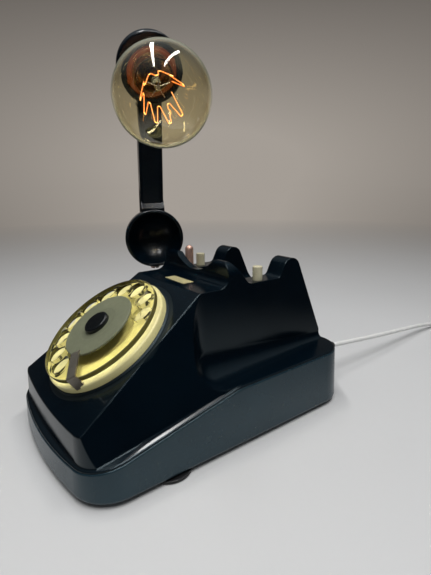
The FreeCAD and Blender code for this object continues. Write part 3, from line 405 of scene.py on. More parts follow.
def shell_black():
    """The housing's black, duller and crisper round the dial; its blue colour and blue gloss tint
    are a painted cast.
    """
    material, tree, shader, place = begin_finish("satin_black_shell")
    polish = clouded(tree, shader, place, settings().finishes.shell, SHELL_POLISH)
    away = spread(tree, from_axis(tree, on_dial(tree, place)), 0.0, 1.0, *WELL_EDGE)
    dull = spread(tree, away, 0.5, 0.0, 0.0, 1.0)
    tree.links.new(combine(tree, "MAXIMUM", polish, dull), shader.inputs["Roughness"])
    edge = combine(tree, "MULTIPLY", away, 0.0014)
    grain(tree, shader, noise(tree, place, 180.0, 2.0), 0.02, 0.0001, edge)
    # Painted blue cast in the reflections
    shader.inputs["Specular IOR Level"].default_value = 0.45
    shader.inputs["Specular Tint"].default_value = (0.74, 0.93, 1.0, 1.0)
    return material


def tray_black():
    """The base tray's black, softer in its gloss than the housing's, with a stronger painted blue
    cast in colour and gloss.
    """
    material = moulded("satin_black_base", settings().finishes.tray, TRAY_POLISH, edge=0.0012)
    shader = main_shader(material)
    # Painted blue cast in the reflections, stronger than the housing's
    shader.inputs["Specular IOR Level"].default_value = 0.62
    shader.inputs["Specular Tint"].default_value = (0.76, 0.94, 1.0, 1.0)
    return material


def aged_cream(name, colour):
    """Yellowed plastic, darker in patches, with a satin face."""
    material, tree, shader, place = begin_finish(name)
    patches = spread(tree, noise(tree, place, 60.0), 0.0, 1.0)
    specks = spread(tree, noise(tree, place, 700.0, 1.0), 0.0, 0.5, 0.60, 0.78)
    base = blend_colours(tree, patches, shade(colour, 0.88), shade(colour, 1.08))
    base = blend_colours(tree, specks, base, shade(colour, 0.7))
    tree.links.new(base, shader.inputs["Base Color"])
    tree.links.new(spread(tree, noise(tree, place, 200.0), 0.28, 0.40), shader.inputs["Roughness"])
    grain(tree, shader, noise(tree, place, 1800.0), 0.06, 0.0001)
    return material


def clear_plastic():
    """Yellowed clear plastic with fine handling scratches and a painted shade on its outer edge,
    which lets less light through there.
    """
    material, tree, shader, place = begin_finish("yellowed_clear_plastic")
    finishes = settings().finishes
    clouding = spread(tree, noise(tree, place, 70.0), 0.0, 1.0)
    base = blend_colours(tree, clouding, shade(finishes.clear, 0.96), finishes.clear)
    # Painted shade on the outer edge: darker colour and less transmission beyond this radius
    edge = spread(tree, from_axis(tree, on_dial(tree, place)), 0.0, 1.0, *WHEEL_EDGE_SHADE)
    base = blend_colours(tree, edge, base, finishes.edge)
    tree.links.new(base, shader.inputs["Base Color"])
    scratches = noise(tree, place, 260.0, 5.0)
    tree.links.new(spread(tree, scratches, 0.0, 0.03), shader.inputs["Roughness"])
    tree.links.new(spread(tree, edge, 1.0, 0.1, 0.0, 1.0), shader.inputs["Transmission Weight"])
    shader.inputs["IOR"].default_value = 1.10
    shader.inputs["Specular IOR Level"].default_value = 1.0
    return material


def matt_disc():
    """Matt disc with a faint turned step, uneven tone and a middle that is darker inside the step.
    """
    material, tree, shader, place = begin_finish("matt_grey_green_disc")
    colour = settings().finishes.disc
    radius = from_axis(tree, on_dial(tree, place))
    wear = spread(tree, noise(tree, place, 90.0, 5.0), 0.0, 1.0)
    base = blend_colours(tree, wear, shade(colour, 0.86), shade(colour, 1.08))
    # Darker towards the middle, inside the turned step
    worn = spread(tree, radius, 0.0, 0.6, *DISC_DARK_MIDDLE)
    base = blend_colours(tree, worn, shade(colour, 0.85), base)
    tree.links.new(base, shader.inputs["Base Color"])
    tree.links.new(spread(tree, noise(tree, place, 300.0), 0.42, 0.58), shader.inputs["Roughness"])
    step = spread(tree, radius, 0.0, 1.0, *DISC_STEP)
    grain(tree, shader, step, 0.35, 0.0004)
    return material


def metal(name, colour, rough, stretch=(1.0, 1.0, 1.0)):
    """Bare metal with tarnish clouds and fine marks drawn out along one direction."""
    material, tree, shader, place = begin_finish(name)
    turn = tree.nodes.new("ShaderNodeMapping")
    turn.inputs["Scale"].default_value = stretch
    tree.links.new(place, turn.inputs["Vector"])
    marks = noise(tree, turn.outputs["Vector"], 900.0, 4.0)
    tarnish = spread(tree, noise(tree, place, 110.0, 4.0), 0.0, 1.0)
    base = blend_colours(tree, tarnish, shade(colour, 0.74), colour)
    tree.links.new(base, shader.inputs["Base Color"])
    shader.inputs["Metallic"].default_value = 1.0
    tree.links.new(spread(tree, marks, rough[0], rough[1]), shader.inputs["Roughness"])
    grain(tree, shader, marks, 0.08, 0.0001)
    return material


def facing_away(tree):
    """0 where a face looks at the eye, 1 at its outline."""
    node = tree.nodes.new("ShaderNodeLayerWeight")
    node.inputs["Blend"].default_value = 0.5
    return node.outputs["Facing"]


def globe_glass():
    """Amber-tinted bulb glass with a faintly uneven tint and a painted pale sheen along the outline
    of its globe.
    """
    material, tree, shader, place = begin_finish("amber_globe_glass")
    tint = spread(tree, noise(tree, place, 30.0), 0.0, 1.0)
    base = blend_colours(tree, tint, *GLASS_TINTS)
    from_centre = tree.nodes.new("ShaderNodeVectorMath")
    from_centre.operation = "DISTANCE"
    from_centre.inputs[1].default_value = GLOBE_AT
    tree.links.new(place, from_centre.inputs[0])
    globe = spread(tree, from_centre.outputs["Value"], 1.0, 0.0, *GLOBE_END)
    # Painted sheen: paler colour and less transmission where the globe's face turns away from the
    # eye
    painted_sheen = combine(tree, "MULTIPLY", facing_away(tree), globe)
    base = blend_colours(tree, spread(tree, painted_sheen, 0.0, 1.0, 0.55, 0.95), base, GLASS_PAINTED_SHEEN)
    tree.links.new(base, shader.inputs["Base Color"])
    shader.inputs["Roughness"].default_value = 0.0
    tree.links.new(spread(tree, painted_sheen, 1.0, 0.55, 0.60, 0.97), shader.inputs["Transmission Weight"])
    shader.inputs["IOR"].default_value = 1.46
    return material


def glowing_wire():
    """Unevenly hot filament, redder towards its outline."""
    material, tree, shader, place = begin_finish("glowing_filament")
    heat = spread(tree, noise(tree, place, 160.0), 0.0, 1.0)
    light = blend_colours(tree, heat, settings().finishes.glow, WIRE_HOT)
    outline = spread(tree, facing_away(tree), 0.0, 1.0, 0.15, 0.65)
    light = blend_colours(tree, outline, light, WIRE_EDGE)
    tree.links.new(light, shader.inputs["Emission Color"])
    shader.inputs["Emission Strength"].default_value = WIRE_STRENGTH
    shader.inputs["Base Color"].default_value = (*WIRE_BASE, 1.0)
    shader.inputs["Roughness"].default_value = 0.5
    return material


def flex_white():
    """White cord sheath with a slight sheen and handling marks."""
    material, tree, shader, place = begin_finish("white_flex")
    colour = settings().finishes.cord
    marks = spread(tree, noise(tree, place, 120.0, 4.0), 0.0, 1.0)
    base = blend_colours(tree, marks, shade(colour, 0.9), colour)
    tree.links.new(base, shader.inputs["Base Color"])
    tree.links.new(spread(tree, noise(tree, place, 400.0), 0.36, 0.52), shader.inputs["Roughness"])
    grain(tree, shader, noise(tree, place, 1500.0), 0.06, 0.0001)
    return material


def rubber(name, colour):
    """Dull rubber with handling marks."""
    material, tree, shader, place = begin_finish(name)
    marks = spread(tree, noise(tree, place, 220.0, 4.0), 0.0, 1.0)
    base = blend_colours(tree, marks, shade(colour, 0.8), shade(colour, 1.3))
    tree.links.new(base, shader.inputs["Base Color"])
    tree.links.new(spread(tree, noise(tree, place, 500.0), 0.55, 0.75), shader.inputs["Roughness"])
    grain(tree, shader, noise(tree, place, 2200.0), 0.15, 0.0001)
    return material


def dress(material, *nodes):
    """Give CAD nodes a finish."""
    for name in nodes:
        slots = NODES[name].data.materials
        slots.clear()
        slots.append(material)


def mesh_piece(name, mesh, material, body):
    """New piece with its place in its mesh, riding on a body."""
    piece = bpy.data.objects.new(name, mesh)
    bpy.context.scene.collection.objects.link(piece)
    mesh.materials.clear()
    mesh.materials.append(material)
    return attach(piece, body)


def plain_mesh(source, name):
    """Plain mesh of an object as it is evaluated; the object is removed."""
    bpy.context.view_layer.update()
    graph = bpy.context.evaluated_depsgraph_get()
    mesh = bpy.data.meshes.new_from_object(source.evaluated_get(graph))
    mesh.name = name
    bpy.data.objects.remove(source)
    return mesh


def smooth_mesh(name, vertices, faces, sharp_deg):
    """Mesh shaded smooth up to an angle."""
    mesh = bpy.data.meshes.new(name)
    mesh.from_pydata(vertices, [], faces)
    mesh.shade_smooth()
    mesh.set_sharp_from_angle(angle=math.radians(sharp_deg))
    return mesh


def plate_mesh():
    """Number plate turned about the dial's axis."""
    vertices, faces = [], []
    count = len(PLATE_OUTLINE)
    for i in range(PLATE_STEPS):
        angle = 2 * math.pi * i / PLATE_STEPS
        for radius, height in PLATE_OUTLINE:
            point = Vector((radius * math.cos(angle), radius * math.sin(angle), height)) * MM
            vertices.append(DIAL @ point)
        near, far = i * count, (i + 1) % PLATE_STEPS * count
        for j in range(count):
            k = (j + 1) % count
            faces.append((near + j, far + j, far + k, near + k))
    return smooth_mesh("number_plate_ring", vertices, faces, PLATE_SHARP_DEG)


def node_tree(name, inputs):
    """Empty Geometry Nodes tree with inputs of (name, kind), and its two ends."""
    tree = bpy.data.node_groups.new(name, "GeometryNodeTree")
    for label, kind in inputs:
        tree.interface.new_socket(label, in_out="INPUT", socket_type="NodeSocket" + kind)
    tree.interface.new_socket("Geometry", in_out="OUTPUT", socket_type="NodeSocketGeometry")
    given = tree.nodes.new("NodeGroupInput").outputs
    return tree, given, tree.nodes.new("NodeGroupOutput").inputs["Geometry"]


def end_tree(tree, points, instance, given, last, turn=(0.0, 0.0, 0.0), scale=None):
    """Instances on points, made real and given their material."""
    on_points = tree.nodes.new("GeometryNodeInstanceOnPoints")
    tree.links.new(points, on_points.inputs["Points"])
    tree.links.new(instance, on_points.inputs["Instance"])
    on_points.inputs["Rotation"].default_value = turn
    if scale:
        tree.links.new(scale, on_points.inputs["Scale"])
    real = tree.nodes.new("GeometryNodeRealizeInstances")
    tree.links.new(on_points.outputs["Instances"], real.inputs["Geometry"])
    finish = tree.nodes.new("GeometryNodeSetMaterial")
    tree.links.new(real.outputs["Geometry"], finish.inputs["Geometry"])
    tree.links.new(given["Material"], finish.inputs["Material"])
    tree.links.new(finish.outputs["Geometry"], last)


def rings_tree():
    """Rings in a row along Y, each smaller than the last."""
    tree, given, last = node_tree("rings_in_a_row", (
        ("Count", "Int"), ("Start", "Vector"), ("Step", "Vector"), ("Radius", "Float"),
        ("Thickness", "Float"), ("End share", "Float"), ("Material", "Material")))
    line = tree.nodes.new("GeometryNodeMeshLine")
    for socket, label in (("Count", "Count"), ("Start Location", "Start"), ("Offset", "Step")):
        tree.links.new(given[label], line.inputs[socket])
    ring = tree.nodes.new("GeometryNodeCurvePrimitiveCircle")
    ring.inputs["Resolution"].default_value = 48
    tree.links.new(given["Radius"], ring.inputs["Radius"])
    section = tree.nodes.new("GeometryNodeCurvePrimitiveCircle")
    section.inputs["Resolution"].default_value = 12
    tree.links.new(given["Thickness"], section.inputs["Radius"])
    sweep = tree.nodes.new("GeometryNodeCurveToMesh")
    tree.links.new(ring.outputs["Curve"], sweep.inputs["Curve"])
    tree.links.new(section.outputs["Curve"], sweep.inputs["Profile Curve"])
    place = tree.nodes.new("GeometryNodeInputIndex")
    share = tree.nodes.new("ShaderNodeMapRange")
    tree.links.new(place.outputs["Index"], share.inputs["Value"])
    tree.links.new(given["Count"], share.inputs["From Max"])
    share.inputs["To Min"].default_value = 1.0
    tree.links.new(given["End share"], share.inputs["To Max"])
    end_tree(tree, line.outputs["Mesh"], sweep.outputs["Mesh"], given, last,
             (math.pi / 2, 0.0, 0.0), share.outputs["Result"])
    return tree


def knurl_tree():
    """Small upright rods round a circle."""
    tree, given, last = node_tree("rods_round_a_circle", (
        ("Count", "Int"), ("Centre", "Vector"), ("Radius", "Float"), ("Rod radius", "Float"),
        ("Rod height", "Float"), ("Material", "Material")))
    ring = tree.nodes.new("GeometryNodeMeshCircle")
    tree.links.new(given["Count"], ring.inputs["Vertices"])
    tree.links.new(given["Radius"], ring.inputs["Radius"])
    move = tree.nodes.new("GeometryNodeTransform")
    tree.links.new(ring.outputs["Mesh"], move.inputs["Geometry"])
    tree.links.new(given["Centre"], move.inputs["Translation"])
    rod = tree.nodes.new("GeometryNodeMeshCylinder")
    rod.inputs["Vertices"].default_value = 8
    tree.links.new(given["Rod radius"], rod.inputs["Radius"])
    tree.links.new(given["Rod height"], rod.inputs["Depth"])
    end_tree(tree, move.outputs["Geometry"], rod.outputs["Mesh"], given, last)
    return tree


def grown(name, tree, values, body):
    """Piece grown by a Geometry Nodes tree from named values, riding on a body."""
    seed = bpy.data.objects.new(name + "_seed", bpy.data.meshes.new(name + "_seed"))
    bpy.context.scene.collection.objects.link(seed)
    modifier = seed.modifiers.new(name, "NODES")
    modifier.node_group = tree
    for item in tree.interface.items_tree:
        if item.in_out == "INPUT":
            modifier[item.identifier] = values[item.name]
    mesh = plain_mesh(seed, name)
    mesh.shade_smooth()
    piece = mesh_piece(name, mesh, values["Material"], body)
    return piece


def flange_section(y, share):
    """Section of the right chamfered strip at one place along it, cut to a share of its size."""
    level = FLANGE_LEVEL + FLANGE_SLOPE * y
    drawn = FLANGE_DRAFT * (level - FLANGE_FOOT)
    round_x = FLANGE_HALF_WIDTH - FLANGE_CORNER
    round_y = FLANGE_CORNER - FLANGE_HALF_LENGTH
    radius = FLANGE_CORNER - drawn
    down = min(y - round_y, 0.0)
    across = math.sqrt(radius * radius - down * down)
    edge = Vector((round_x + across, y, 0.0))
    out = Vector((across, down, 0.0)) / radius
    outer = CHAMFER_SECTION[0][0]
    for inward, rise in CHAMFER_SECTION:
        point = edge - out * (outer + (inward - outer) * max(share, CHAMFER_LEAST))
        point.z = FLANGE_LEVEL + FLANGE_SLOPE * point.y + (rise * share if rise > 0 else rise)
        yield point


def chamfer_mesh():
    """Chamfered strips along the front part of both flanges, fading out at their ends."""
    start, full, fading, stop = CHAMFER_SPAN
    vertices, faces = [], []
    count = len(CHAMFER_SECTION)
    for mirror in (1.0, -1.0):
        first = len(vertices)
        for i in range(CHAMFER_STEPS + 1):
            y = start + (stop - start) * i / CHAMFER_STEPS
            share = max(0.0, min(1.0, (y - start) / (full - start), (stop - y) / (stop - fading)))
            for point in flange_section(y, share):
                point.x *= mirror
                vertices.append(point * MM + ROW_SHIFT)
        for i in range(CHAMFER_STEPS):
            near = first + i * count
            for j in range(count):
                k = (j + 1) % count
                quad = (near + j, near + k, near + count + k, near + count + j)
                faces.append(quad if mirror < 0 else quad[::-1])
        front = tuple(range(first, first + count))
        rear = tuple(range(len(vertices) - count, len(vertices)))[::-1]
        faces.extend(end if mirror > 0 else end[::-1] for end in (front, rear))
    return smooth_mesh("flange_chamfers", vertices, faces, CHAMFER_SHARP_DEG)


class TELEPHONE_OT_shell(bpy.types.Operator):
    """Finish the housing, the base and what closes them"""

    bl_idname = "telephone.shell"
    bl_label = "Shell and base"

    def execute(self, context):
        dress(shell_black(), "housing")
        black = settings().finishes.shell
        strip = moulded("satin_black_flange", black, SHELL_POLISH, edge=0.0003)
        main_shader(strip).inputs["Specular IOR Level"].default_value = 0.6
        chamfers = mesh_piece("flange_chamfers", chamfer_mesh(), strip, "telephone")
        dress(tray_black(), "base_tray")
        dress(rubber("black_rubber", FOOT_RUBBER), "rubber_feet")
        dress(metal("plain_steel", *STEEL), "base_screws")
        worn = moulded("worn_black_wheel", *WHEEL_BLACK)
        dress(worn, "volume_wheel", "volume_cam")
        grown("volume_wheel_knurl", knurl_tree(), {
            "Count": KNURL_COUNT, "Centre": Vector(JOINTS["volume_turn"]["pos_m"]),
            "Radius": KNURL_RADIUS, "Rod radius": KNURL_ROD_RADIUS,
            "Rod height": KNURL_ROD_HEIGHT, "Material": worn}, "ringer_volume")
        return {"FINISHED"}


class TELEPHONE_OT_dial(bpy.types.Operator):
    """Finish the dial and print its figures"""

    bl_idname = "telephone.dial"
    bl_label = "Dial"

    def execute(self, context):
        cream = aged_cream("yellowed_cream_plate", settings().finishes.cream)
        plate = mesh_piece("number_plate_ring", plate_mesh(), cream, "telephone")
        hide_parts("number_plate")
        dress(clear_plastic(), "finger_wheel")
        NODES["finger_wheel"].visible_shadow = False
        dress(matt_disc(), "centre_disc")
        dress(moulded("black_hub_cap", *HUB_BLACK, edge=0.0004), "hub_cap")
        dress(metal("dull_brown_steel", *STOP_STEEL), "finger_stop")
        self.figures()
        return {"FINISHED"}

    def figures(self):
        """Ten upright figures on the plate, one under each finger hole."""
        sizes = settings().dial_print
        joined = bmesh.new()
        for i, figure in enumerate(FIGURES):
            angle = math.radians(HOLE_FIRST_DEG - i * HOLE_STEP_DEG)
            middle = Vector((math.sin(angle), math.cos(angle), 0.0)) * sizes.circle
            middle.z = sizes.level
            text = bpy.data.curves.new("figure_" + figure, "FONT")
            text.body = figure
            text.size = sizes.height
            text.extrude = sizes.relief
            text.offset = sizes.weight
            text.align_x = "CENTER"
            text.align_y = "CENTER"
            holder = bpy.data.objects.new("figure_" + figure, text)
            bpy.context.scene.collection.objects.link(holder)
            mesh = plain_mesh(holder, "figure_" + figure)
            mesh.transform(DIAL @ Matrix.Translation(middle))
            joined.from_mesh(mesh)
            bpy.data.meshes.remove(mesh)
        mesh = bpy.data.meshes.new("dial_figures")
        joined.to_mesh(mesh)
        joined.free()
        ink = moulded("olive_print", settings().finishes.ink, INK_POLISH)
        mesh_piece("dial_figures", mesh, ink, "telephone")


class TELEPHONE_OT_cradle(bpy.types.Operator):
    """Finish the plungers, the name card and the copper tube"""

    bl_idname = "telephone.cradle"
    bl_label = "Cradle and tube"

    def execute(self, context):
        dress(aged_cream("cream_plunger", PLUNGER_CREAM), "plunger_left", "plunger_right")
        dress(aged_cream("bare_card", CARD_CREAM), "name_card")
        colour = settings().finishes.copper
        copper = metal("bare_copper", colour, COPPER_POLISH, stretch=(1.0, 1.0, 0.05))
        main_shader(copper).inputs["Metallic"].default_value = 0.72
        dress(copper, "copper_tube", "cup_nut")
        dress(metal("plain_brass", *NUT_BRASS), "tube_locknut")
        return {"FINISHED"}


class TELEPHONE_OT_handset(bpy.types.Operator):
    """Finish the upright handset"""

    bl_idname = "telephone.handset"
    bl_label = "Handset"

    def execute(self, context):
        colour = settings().finishes.shell
        black = moulded("satin_black_handset", colour, HANDSET_POLISH, edge=0.0018)
        dress(black, "handle", "mouth_cup", "ear_cup")
        return {"FINISHED"}


class TELEPHONE_OT_lamp(bpy.types.Operator):
    """Finish the lampholder, with a painted glow of the bulb's light on it, and the bulb"""

    bl_idname = "telephone.lamp"
    bl_label = "Lamp"

    def execute(self, context):
        holder = moulded("brown_lampholder_painted_glow", *HOLDER_BROWN)
        shader = main_shader(holder)
        # Painted glow of the filament's light on the holder, which is no lamp
        shader.inputs["Emission Color"].default_value = (*HOLDER_PAINTED_GLOW, 1.0)
        shader.inputs["Emission Strength"].default_value = HOLDER_PAINTED_GLOW_STRENGTH
        dress(holder, "lampholder")
        dress(metal("brass_cap", *CAP_BRASS), "bulb_cap")
        dress(globe_glass(), "bulb_glass", "bulb_stem")
        dress(glowing_wire(), "filament")
        dress(metal("support_wire", *SUPPORT_WIRE), "filament_supports")
        NODES["bulb_glass"].visible_shadow = False
        return {"FINISHED"}


class TELEPHONE_OT_inside(bpy.types.Operator):
    """Finish the mechanism inside the shell"""

    bl_idname = "telephone.inside"
    bl_label = "Mechanism"

    def execute(self, context):
        steel = metal("mechanism_steel", *MECHANISM_STEEL)
        brass = metal("mechanism_brass", *MECHANISM_BRASS)
        dark = moulded("mechanism_black", *MECHANISM_BLACK)
        dress(steel, "dial_shaft", "pulse_pinion", "dial_frame", "hook_bail", "ringer_bracket",
              "clapper")
        dress(brass, "dial_gear", "gong_left", "gong_right")
        dress(dark, "pulse_cam", "hook_switch", "ringer_coils", "terminal_block")
        return {"FINISHED"}


def coil_point(turns):
    """Centre line of the coil: in and out by layers, with a soft half turn up at each reversal."""
    layer = min(int(turns / COIL_TURNS), COIL_LAYERS - 1)
    within = turns - layer * COIL_TURNS
    share = within if layer % 2 else COIL_TURNS - within
    nearest = round(turns / COIL_TURNS)
    away = turns - nearest * COIL_TURNS
    rise = layer
    if 0 < nearest < COIL_LAYERS and abs(away) < COIL_SOFT:
        soft = away * away / (2 * COIL_SOFT) + COIL_SOFT / 2
        share = soft if nearest % 2 else COIL_TURNS - soft
        rise = nearest - 1 + (1 - math.cos(math.pi * (away + COIL_SOFT) / (2 * COIL_SOFT))) / 2
    radius = COIL_INNER + COIL_PITCH * share
    z = COIL_FLOOR + settings().cord_sizes.diameter / 2 + COIL_PITCH * rise
    a = math.pi - 2 * math.pi * turns
    return Vector((COIL_CENTRE.x + radius * math.cos(a), COIL_CENTRE.y + radius * math.sin(a), z))


def cord_points():
    """Control points of the whole cord: free stretch, coil and tail to the plug."""
    last = COIL_LAYERS * COIL_TURNS
    step = 1e-4
    first_way = (coil_point(step) - coil_point(0.0)).normalized()
    last_way = (coil_point(last) - coil_point(last - step)).normalized()
    diameter = settings().cord_sizes.diameter
    start = coil_point(0.0) - first_way * diameter
    stop = coil_point(last) + last_way * diameter
    lead = start - first_way * COIL_LEAD * MM
    bend = Vector((CORD_BEND[0] * MM, CORD_BEND[1] * MM, lead.z))
    free = [CORD_EXIT, *(Vector(p) * MM for p in CORD_FREE), bend, lead, start]
    turns = [coil_point(i / COIL_STEPS) for i in range(int(last * COIL_STEPS) + 1)]
    tail = [stop, *(stop + last_way * past * MM + Vector(by) * MM for past, by in CORD_TAIL)]
    return [p + ROW_SHIFT for p in free + turns + tail]


class TELEPHONE_OT_cord(bpy.types.Operator):
    """Lay the mains cord and finish its plug, tie and strain relief"""

    bl_idname = "telephone.cord"
    bl_label = "Mains cord"

    def execute(self, context):
        sizes = settings().cord_sizes
        points = cord_points()
        curve = bpy.data.curves.new("mains_cord", "CURVE")
        curve.dimensions = "3D"
        curve.bevel_depth = sizes.diameter / 2
        curve.bevel_resolution = 4
        curve.use_fill_caps = True
        curve.resolution_u = 4
        spline = curve.splines.new("NURBS")
        spline.points.add(len(points) - 1)
        for point, place in zip(spline.points, points):
            point.co = (*place, 1.0)
        spline.order_u = 3
        spline.use_endpoint_u = True
        white = flex_white()
        curve.materials.append(white)
        cord = bpy.data.objects.new("mains_cord", curve)
        context.scene.collection.objects.link(cord)
        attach(cord, "telephone")
        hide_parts("cord_free", "cord_coil", "cord_tail")
        dress(white, "plug")
        dress(metal("pin_brass", *PIN_BRASS), "plug_pins")
        dress(rubber("black_tie", TIE_RUBBER), "coil_tie")
        sleeve = rubber("black_sleeve", SLEEVE_RUBBER)
        dress(sleeve, "strain_relief")
        ribs = grown("strain_relief_ribs", rings_tree(), {
            "Count": RIB_COUNT, "Start": RIB_START, "Step": RIB_STEP, "Radius": RIB_RADIUS,
            "Thickness": RIB_THICKNESS, "End share": RIB_END_SHARE, "Material": sleeve},
            "telephone")
        tuple(points[0])
        return {"FINISHED"}


def aim(yaw, pitch, roll):
    """Camera turn from the photograph's yaw, downward pitch and roll, in degrees."""
    y, p, r = (math.radians(v) for v in (yaw, pitch, roll))
    ahead = Vector((-math.sin(y), math.cos(y), 0.0))
    right = Vector((math.cos(y), math.sin(y), 0.0))
    down = Vector((0.0, 0.0, -1.0))
    forward = ahead * math.cos(p) + down * math.sin(p)
    lower = -ahead * math.sin(p) + down * math.cos(p)
    side = right * math.cos(r) + lower * math.sin(r)
    under = -right * math.sin(r) + lower * math.cos(r)
    return Matrix((side, -under, -forward)).transposed()


def wall_light(tree, way, low, reach, squash):
    """Colour of the wall one way from the table: a lit patch that dies out to a share of itself."""
    patch = tree.nodes.new("ShaderNodeMapping")
    patch.inputs["Scale"].default_value = (1.0, 1.0, squash)
    patch.inputs["Location"].default_value = (-PATCH_WAY[0], -PATCH_WAY[1], -PATCH_WAY[2] * squash)
    tree.links.new(way, patch.inputs["Vector"])
    away = tree.nodes.new("ShaderNodeVectorMath")
    away.operation = "LENGTH"
    tree.links.new(patch.outputs["Vector"], away.inputs[0])
    wall = settings().stage_look.wall
    fade = spread(tree, away.outputs["Value"], 0.0, 1.0, PATCH_CORE, reach)
    return blend_colours(tree, fade, wall, shade(wall, low))


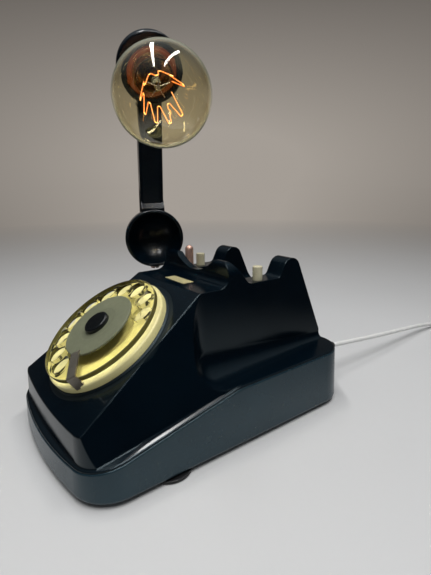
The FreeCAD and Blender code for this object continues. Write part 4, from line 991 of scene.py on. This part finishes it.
class TELEPHONE_OT_stage(bpy.types.Operator):
    """Set up the camera, the table, the background and the lamps"""

    bl_idname = "telephone.stage"
    bl_label = "Stage"

    def execute(self, context):
        self.camera(context.scene)
        self.table(context.scene)
        self.background(context.scene)
        self.lamps(context.scene)
        context.scene.view_settings.view_transform = "Standard"
        return {"FINISHED"}

    def camera(self, scene):
        """The photograph's camera."""
        data = bpy.data.cameras.new("photo_camera")
        data.lens = PHOTO_FOCAL / max(PHOTO_SIZE) * data.sensor_width
        data.clip_start = 0.01
        data.clip_end = 100.0
        camera = bpy.data.objects.new("photo_camera", data)
        turn = aim(CAMERA_YAW, CAMERA_PITCH, CAMERA_ROLL).to_4x4()
        camera.matrix_world = Matrix.Translation(CAMERA_AT) @ turn
        scene.collection.objects.link(camera)
        scene.camera = camera

    def table(self, scene):
        """Pale table top that passes into the background's colour, and into the dark in gloss."""
        look = settings().stage_look
        mesh = bpy.data.meshes.new("table_top")
        half = TABLE_HALF
        corners = [(-half, -half, 0), (half, -half, 0), (half, half, 0), (-half, half, 0)]
        mesh.from_pydata(corners, [], [(0, 1, 2, 3)])
        material, tree, shader, place = begin_finish("pale_table")
        mottle = spread(tree, noise(tree, place, 5.0), 0.0, 1.0)
        base = blend_colours(tree, mottle, shade(look.floor, 0.97), look.floor)
        tree.links.new(base, shader.inputs["Base Color"])
        shader.inputs["Roughness"].default_value = 0.55
        way = tree.nodes.new("ShaderNodeVectorMath")
        way.operation = "NORMALIZE"
        tree.links.new(place, way.inputs[0])
        path = tree.nodes.new("ShaderNodeLightPath")
        radius = from_axis(tree, place)
        seen, gloss = path.outputs["Is Camera Ray"], path.outputs["Is Glossy Ray"]
        far = spread(tree, radius, 0.0, 1.0, *TABLE_SEEN_FADE)
        dim = spread(tree, radius, 0.0, 1.0, *TABLE_GLOSS_FADE)
        fade = combine(tree, "ADD", combine(tree, "MULTIPLY", far, seen),
                       combine(tree, "MULTIPLY", dim, gloss))
        glow = tree.nodes.new("ShaderNodeEmission")
        wall = wall_light(tree, way.outputs["Vector"], *WALL_SEEN)
        beyond = blend_colours(tree, gloss, wall, shade(look.wall, TABLE_GLOSS_SHARE))
        tree.links.new(beyond, glow.inputs["Color"])
        mix = tree.nodes.new("ShaderNodeMixShader")
        tree.links.new(fade, mix.inputs["Fac"])
        tree.links.new(shader.outputs["BSDF"], mix.inputs[1])
        tree.links.new(glow.outputs["Emission"], mix.inputs[2])
        tree.links.new(mix.outputs["Shader"], tree.nodes["Material Output"].inputs["Surface"])
        mesh.materials.append(material)
        table = bpy.data.objects.new("table_top", mesh)
        scene.collection.objects.link(table)

    def background(self, scene):
        """Even soft light; the camera, gloss and glass see a lit patch of wall in a dim room."""
        look = settings().stage_look
        world = bpy.data.worlds.new("soft_room")
        world.use_nodes = True
        tree = world.node_tree
        tree.nodes.clear()
        place = tree.nodes.new("ShaderNodeTexCoord").outputs["Generated"]
        path = tree.nodes.new("ShaderNodeLightPath")
        height = tree.nodes.new("ShaderNodeSeparateXYZ")
        tree.links.new(place, height.inputs["Vector"])
        high = spread(tree, height.outputs["Z"], 0.0, 1.0, *CEILING_BAND)
        room = blend_colours(tree, high, wall_light(tree, place, *WALL_IN_GLOSS), look.ceiling)
        wall = wall_light(tree, place, *WALL_SEEN)
        seen = blend_colours(tree, path.outputs["Is Glossy Ray"], wall, room)
        diffuse = tree.nodes.new("ShaderNodeBackground")
        diffuse.inputs["Color"].default_value = (*SOFT_LIGHT, 1.0)
        diffuse.inputs["Strength"].default_value = look.world
        view = tree.nodes.new("ShaderNodeBackground")
        tree.links.new(seen, view.inputs["Color"])
        mix = tree.nodes.new("ShaderNodeMixShader")
        out = tree.nodes.new("ShaderNodeOutputWorld")
        shown = path.outputs["Is Camera Ray"]
        for ray in ("Is Glossy Ray", "Is Transmission Ray"):
            shown = combine(tree, "MAXIMUM", shown, path.outputs[ray])
        tree.links.new(shown, mix.inputs["Fac"])
        tree.links.new(diffuse.outputs["Background"], mix.inputs[1])
        tree.links.new(view.outputs["Background"], mix.inputs[2])
        tree.links.new(mix.outputs["Shader"], out.inputs["Surface"])
        world.cycles.sampling_method = "NONE"
        scene.world = world

    def lamps(self, scene):
        """Long area lamps under the ceiling, shining straight down."""
        up = Vector((0.0, 0.0, 1.0))
        for i, (start, stop) in enumerate(TUBES):
            a = Vector((*start, CEILING))
            b = Vector((*stop, CEILING))
            along = (b - a).normalized()
            data = bpy.data.lights.new("ceiling_tube_%d" % i, "AREA")
            data.shape = "RECTANGLE"
            data.size = (b - a).length
            data.size_y = TUBE_WIDTH
            data.energy = settings().stage_look.tubes
            lamp = bpy.data.objects.new(data.name, data)
            turn = Matrix((along, up.cross(along), up)).transposed().to_4x4()
            lamp.matrix_world = Matrix.Translation((a + b) / 2) @ turn
            scene.collection.objects.link(lamp)


class TelephoneLamp(bpy.types.PropertyGroup):
    """Everything that a user would change."""

    finishes: bpy.props.PointerProperty(name="Finishes", type=Finishes)
    dial_print: bpy.props.PointerProperty(name="Dial figures", type=DialPrint)
    cord_sizes: bpy.props.PointerProperty(name="Cord", type=CordSizes)
    stage_look: bpy.props.PointerProperty(name="Stage", type=StageLook)


OPERATORS = (TELEPHONE_OT_stage, TELEPHONE_OT_cord, TELEPHONE_OT_shell, TELEPHONE_OT_dial,
             TELEPHONE_OT_cradle, TELEPHONE_OT_handset, TELEPHONE_OT_lamp, TELEPHONE_OT_inside)


class TELEPHONE_PT_panel(bpy.types.Panel):
    """Lists the pieces and their settings"""

    bl_label = "Telephone lamp"
    bl_idname = "TELEPHONE_PT_panel"
    bl_space_type = "VIEW_3D"
    bl_region_type = "UI"
    bl_category = "Telephone lamp"

    def draw(self, context):
        for operator in OPERATORS:
            self.layout.operator(operator.bl_idname)
        own = settings()
        for group in (own.finishes, own.dial_print, own.cord_sizes, own.stage_look):
            for name in group.__annotations__:
                self.layout.prop(group, name)


CLASSES = (Finishes, DialPrint, CordSizes, StageLook, TelephoneLamp, *OPERATORS, TELEPHONE_PT_panel)


def register():
    """Make the classes and the settings known."""
    for cls in CLASSES:
        bpy.utils.register_class(cls)
    bpy.types.Scene.telephone_lamp = bpy.props.PointerProperty(type=TelephoneLamp)


def unregister():
    """Take the settings and the classes away."""
    del bpy.types.Scene.telephone_lamp
    for cls in reversed(CLASSES):
        bpy.utils.unregister_class(cls)


def main():
    """Build the scene."""
    register()
    bpy.ops.telephone.stage()
    bpy.ops.telephone.cord()
    bpy.ops.telephone.shell()
    bpy.ops.telephone.dial()
    bpy.ops.telephone.cradle()
    bpy.ops.telephone.handset()
    bpy.ops.telephone.lamp()
    bpy.ops.telephone.inside()


if __name__ == "__main__":
    main()
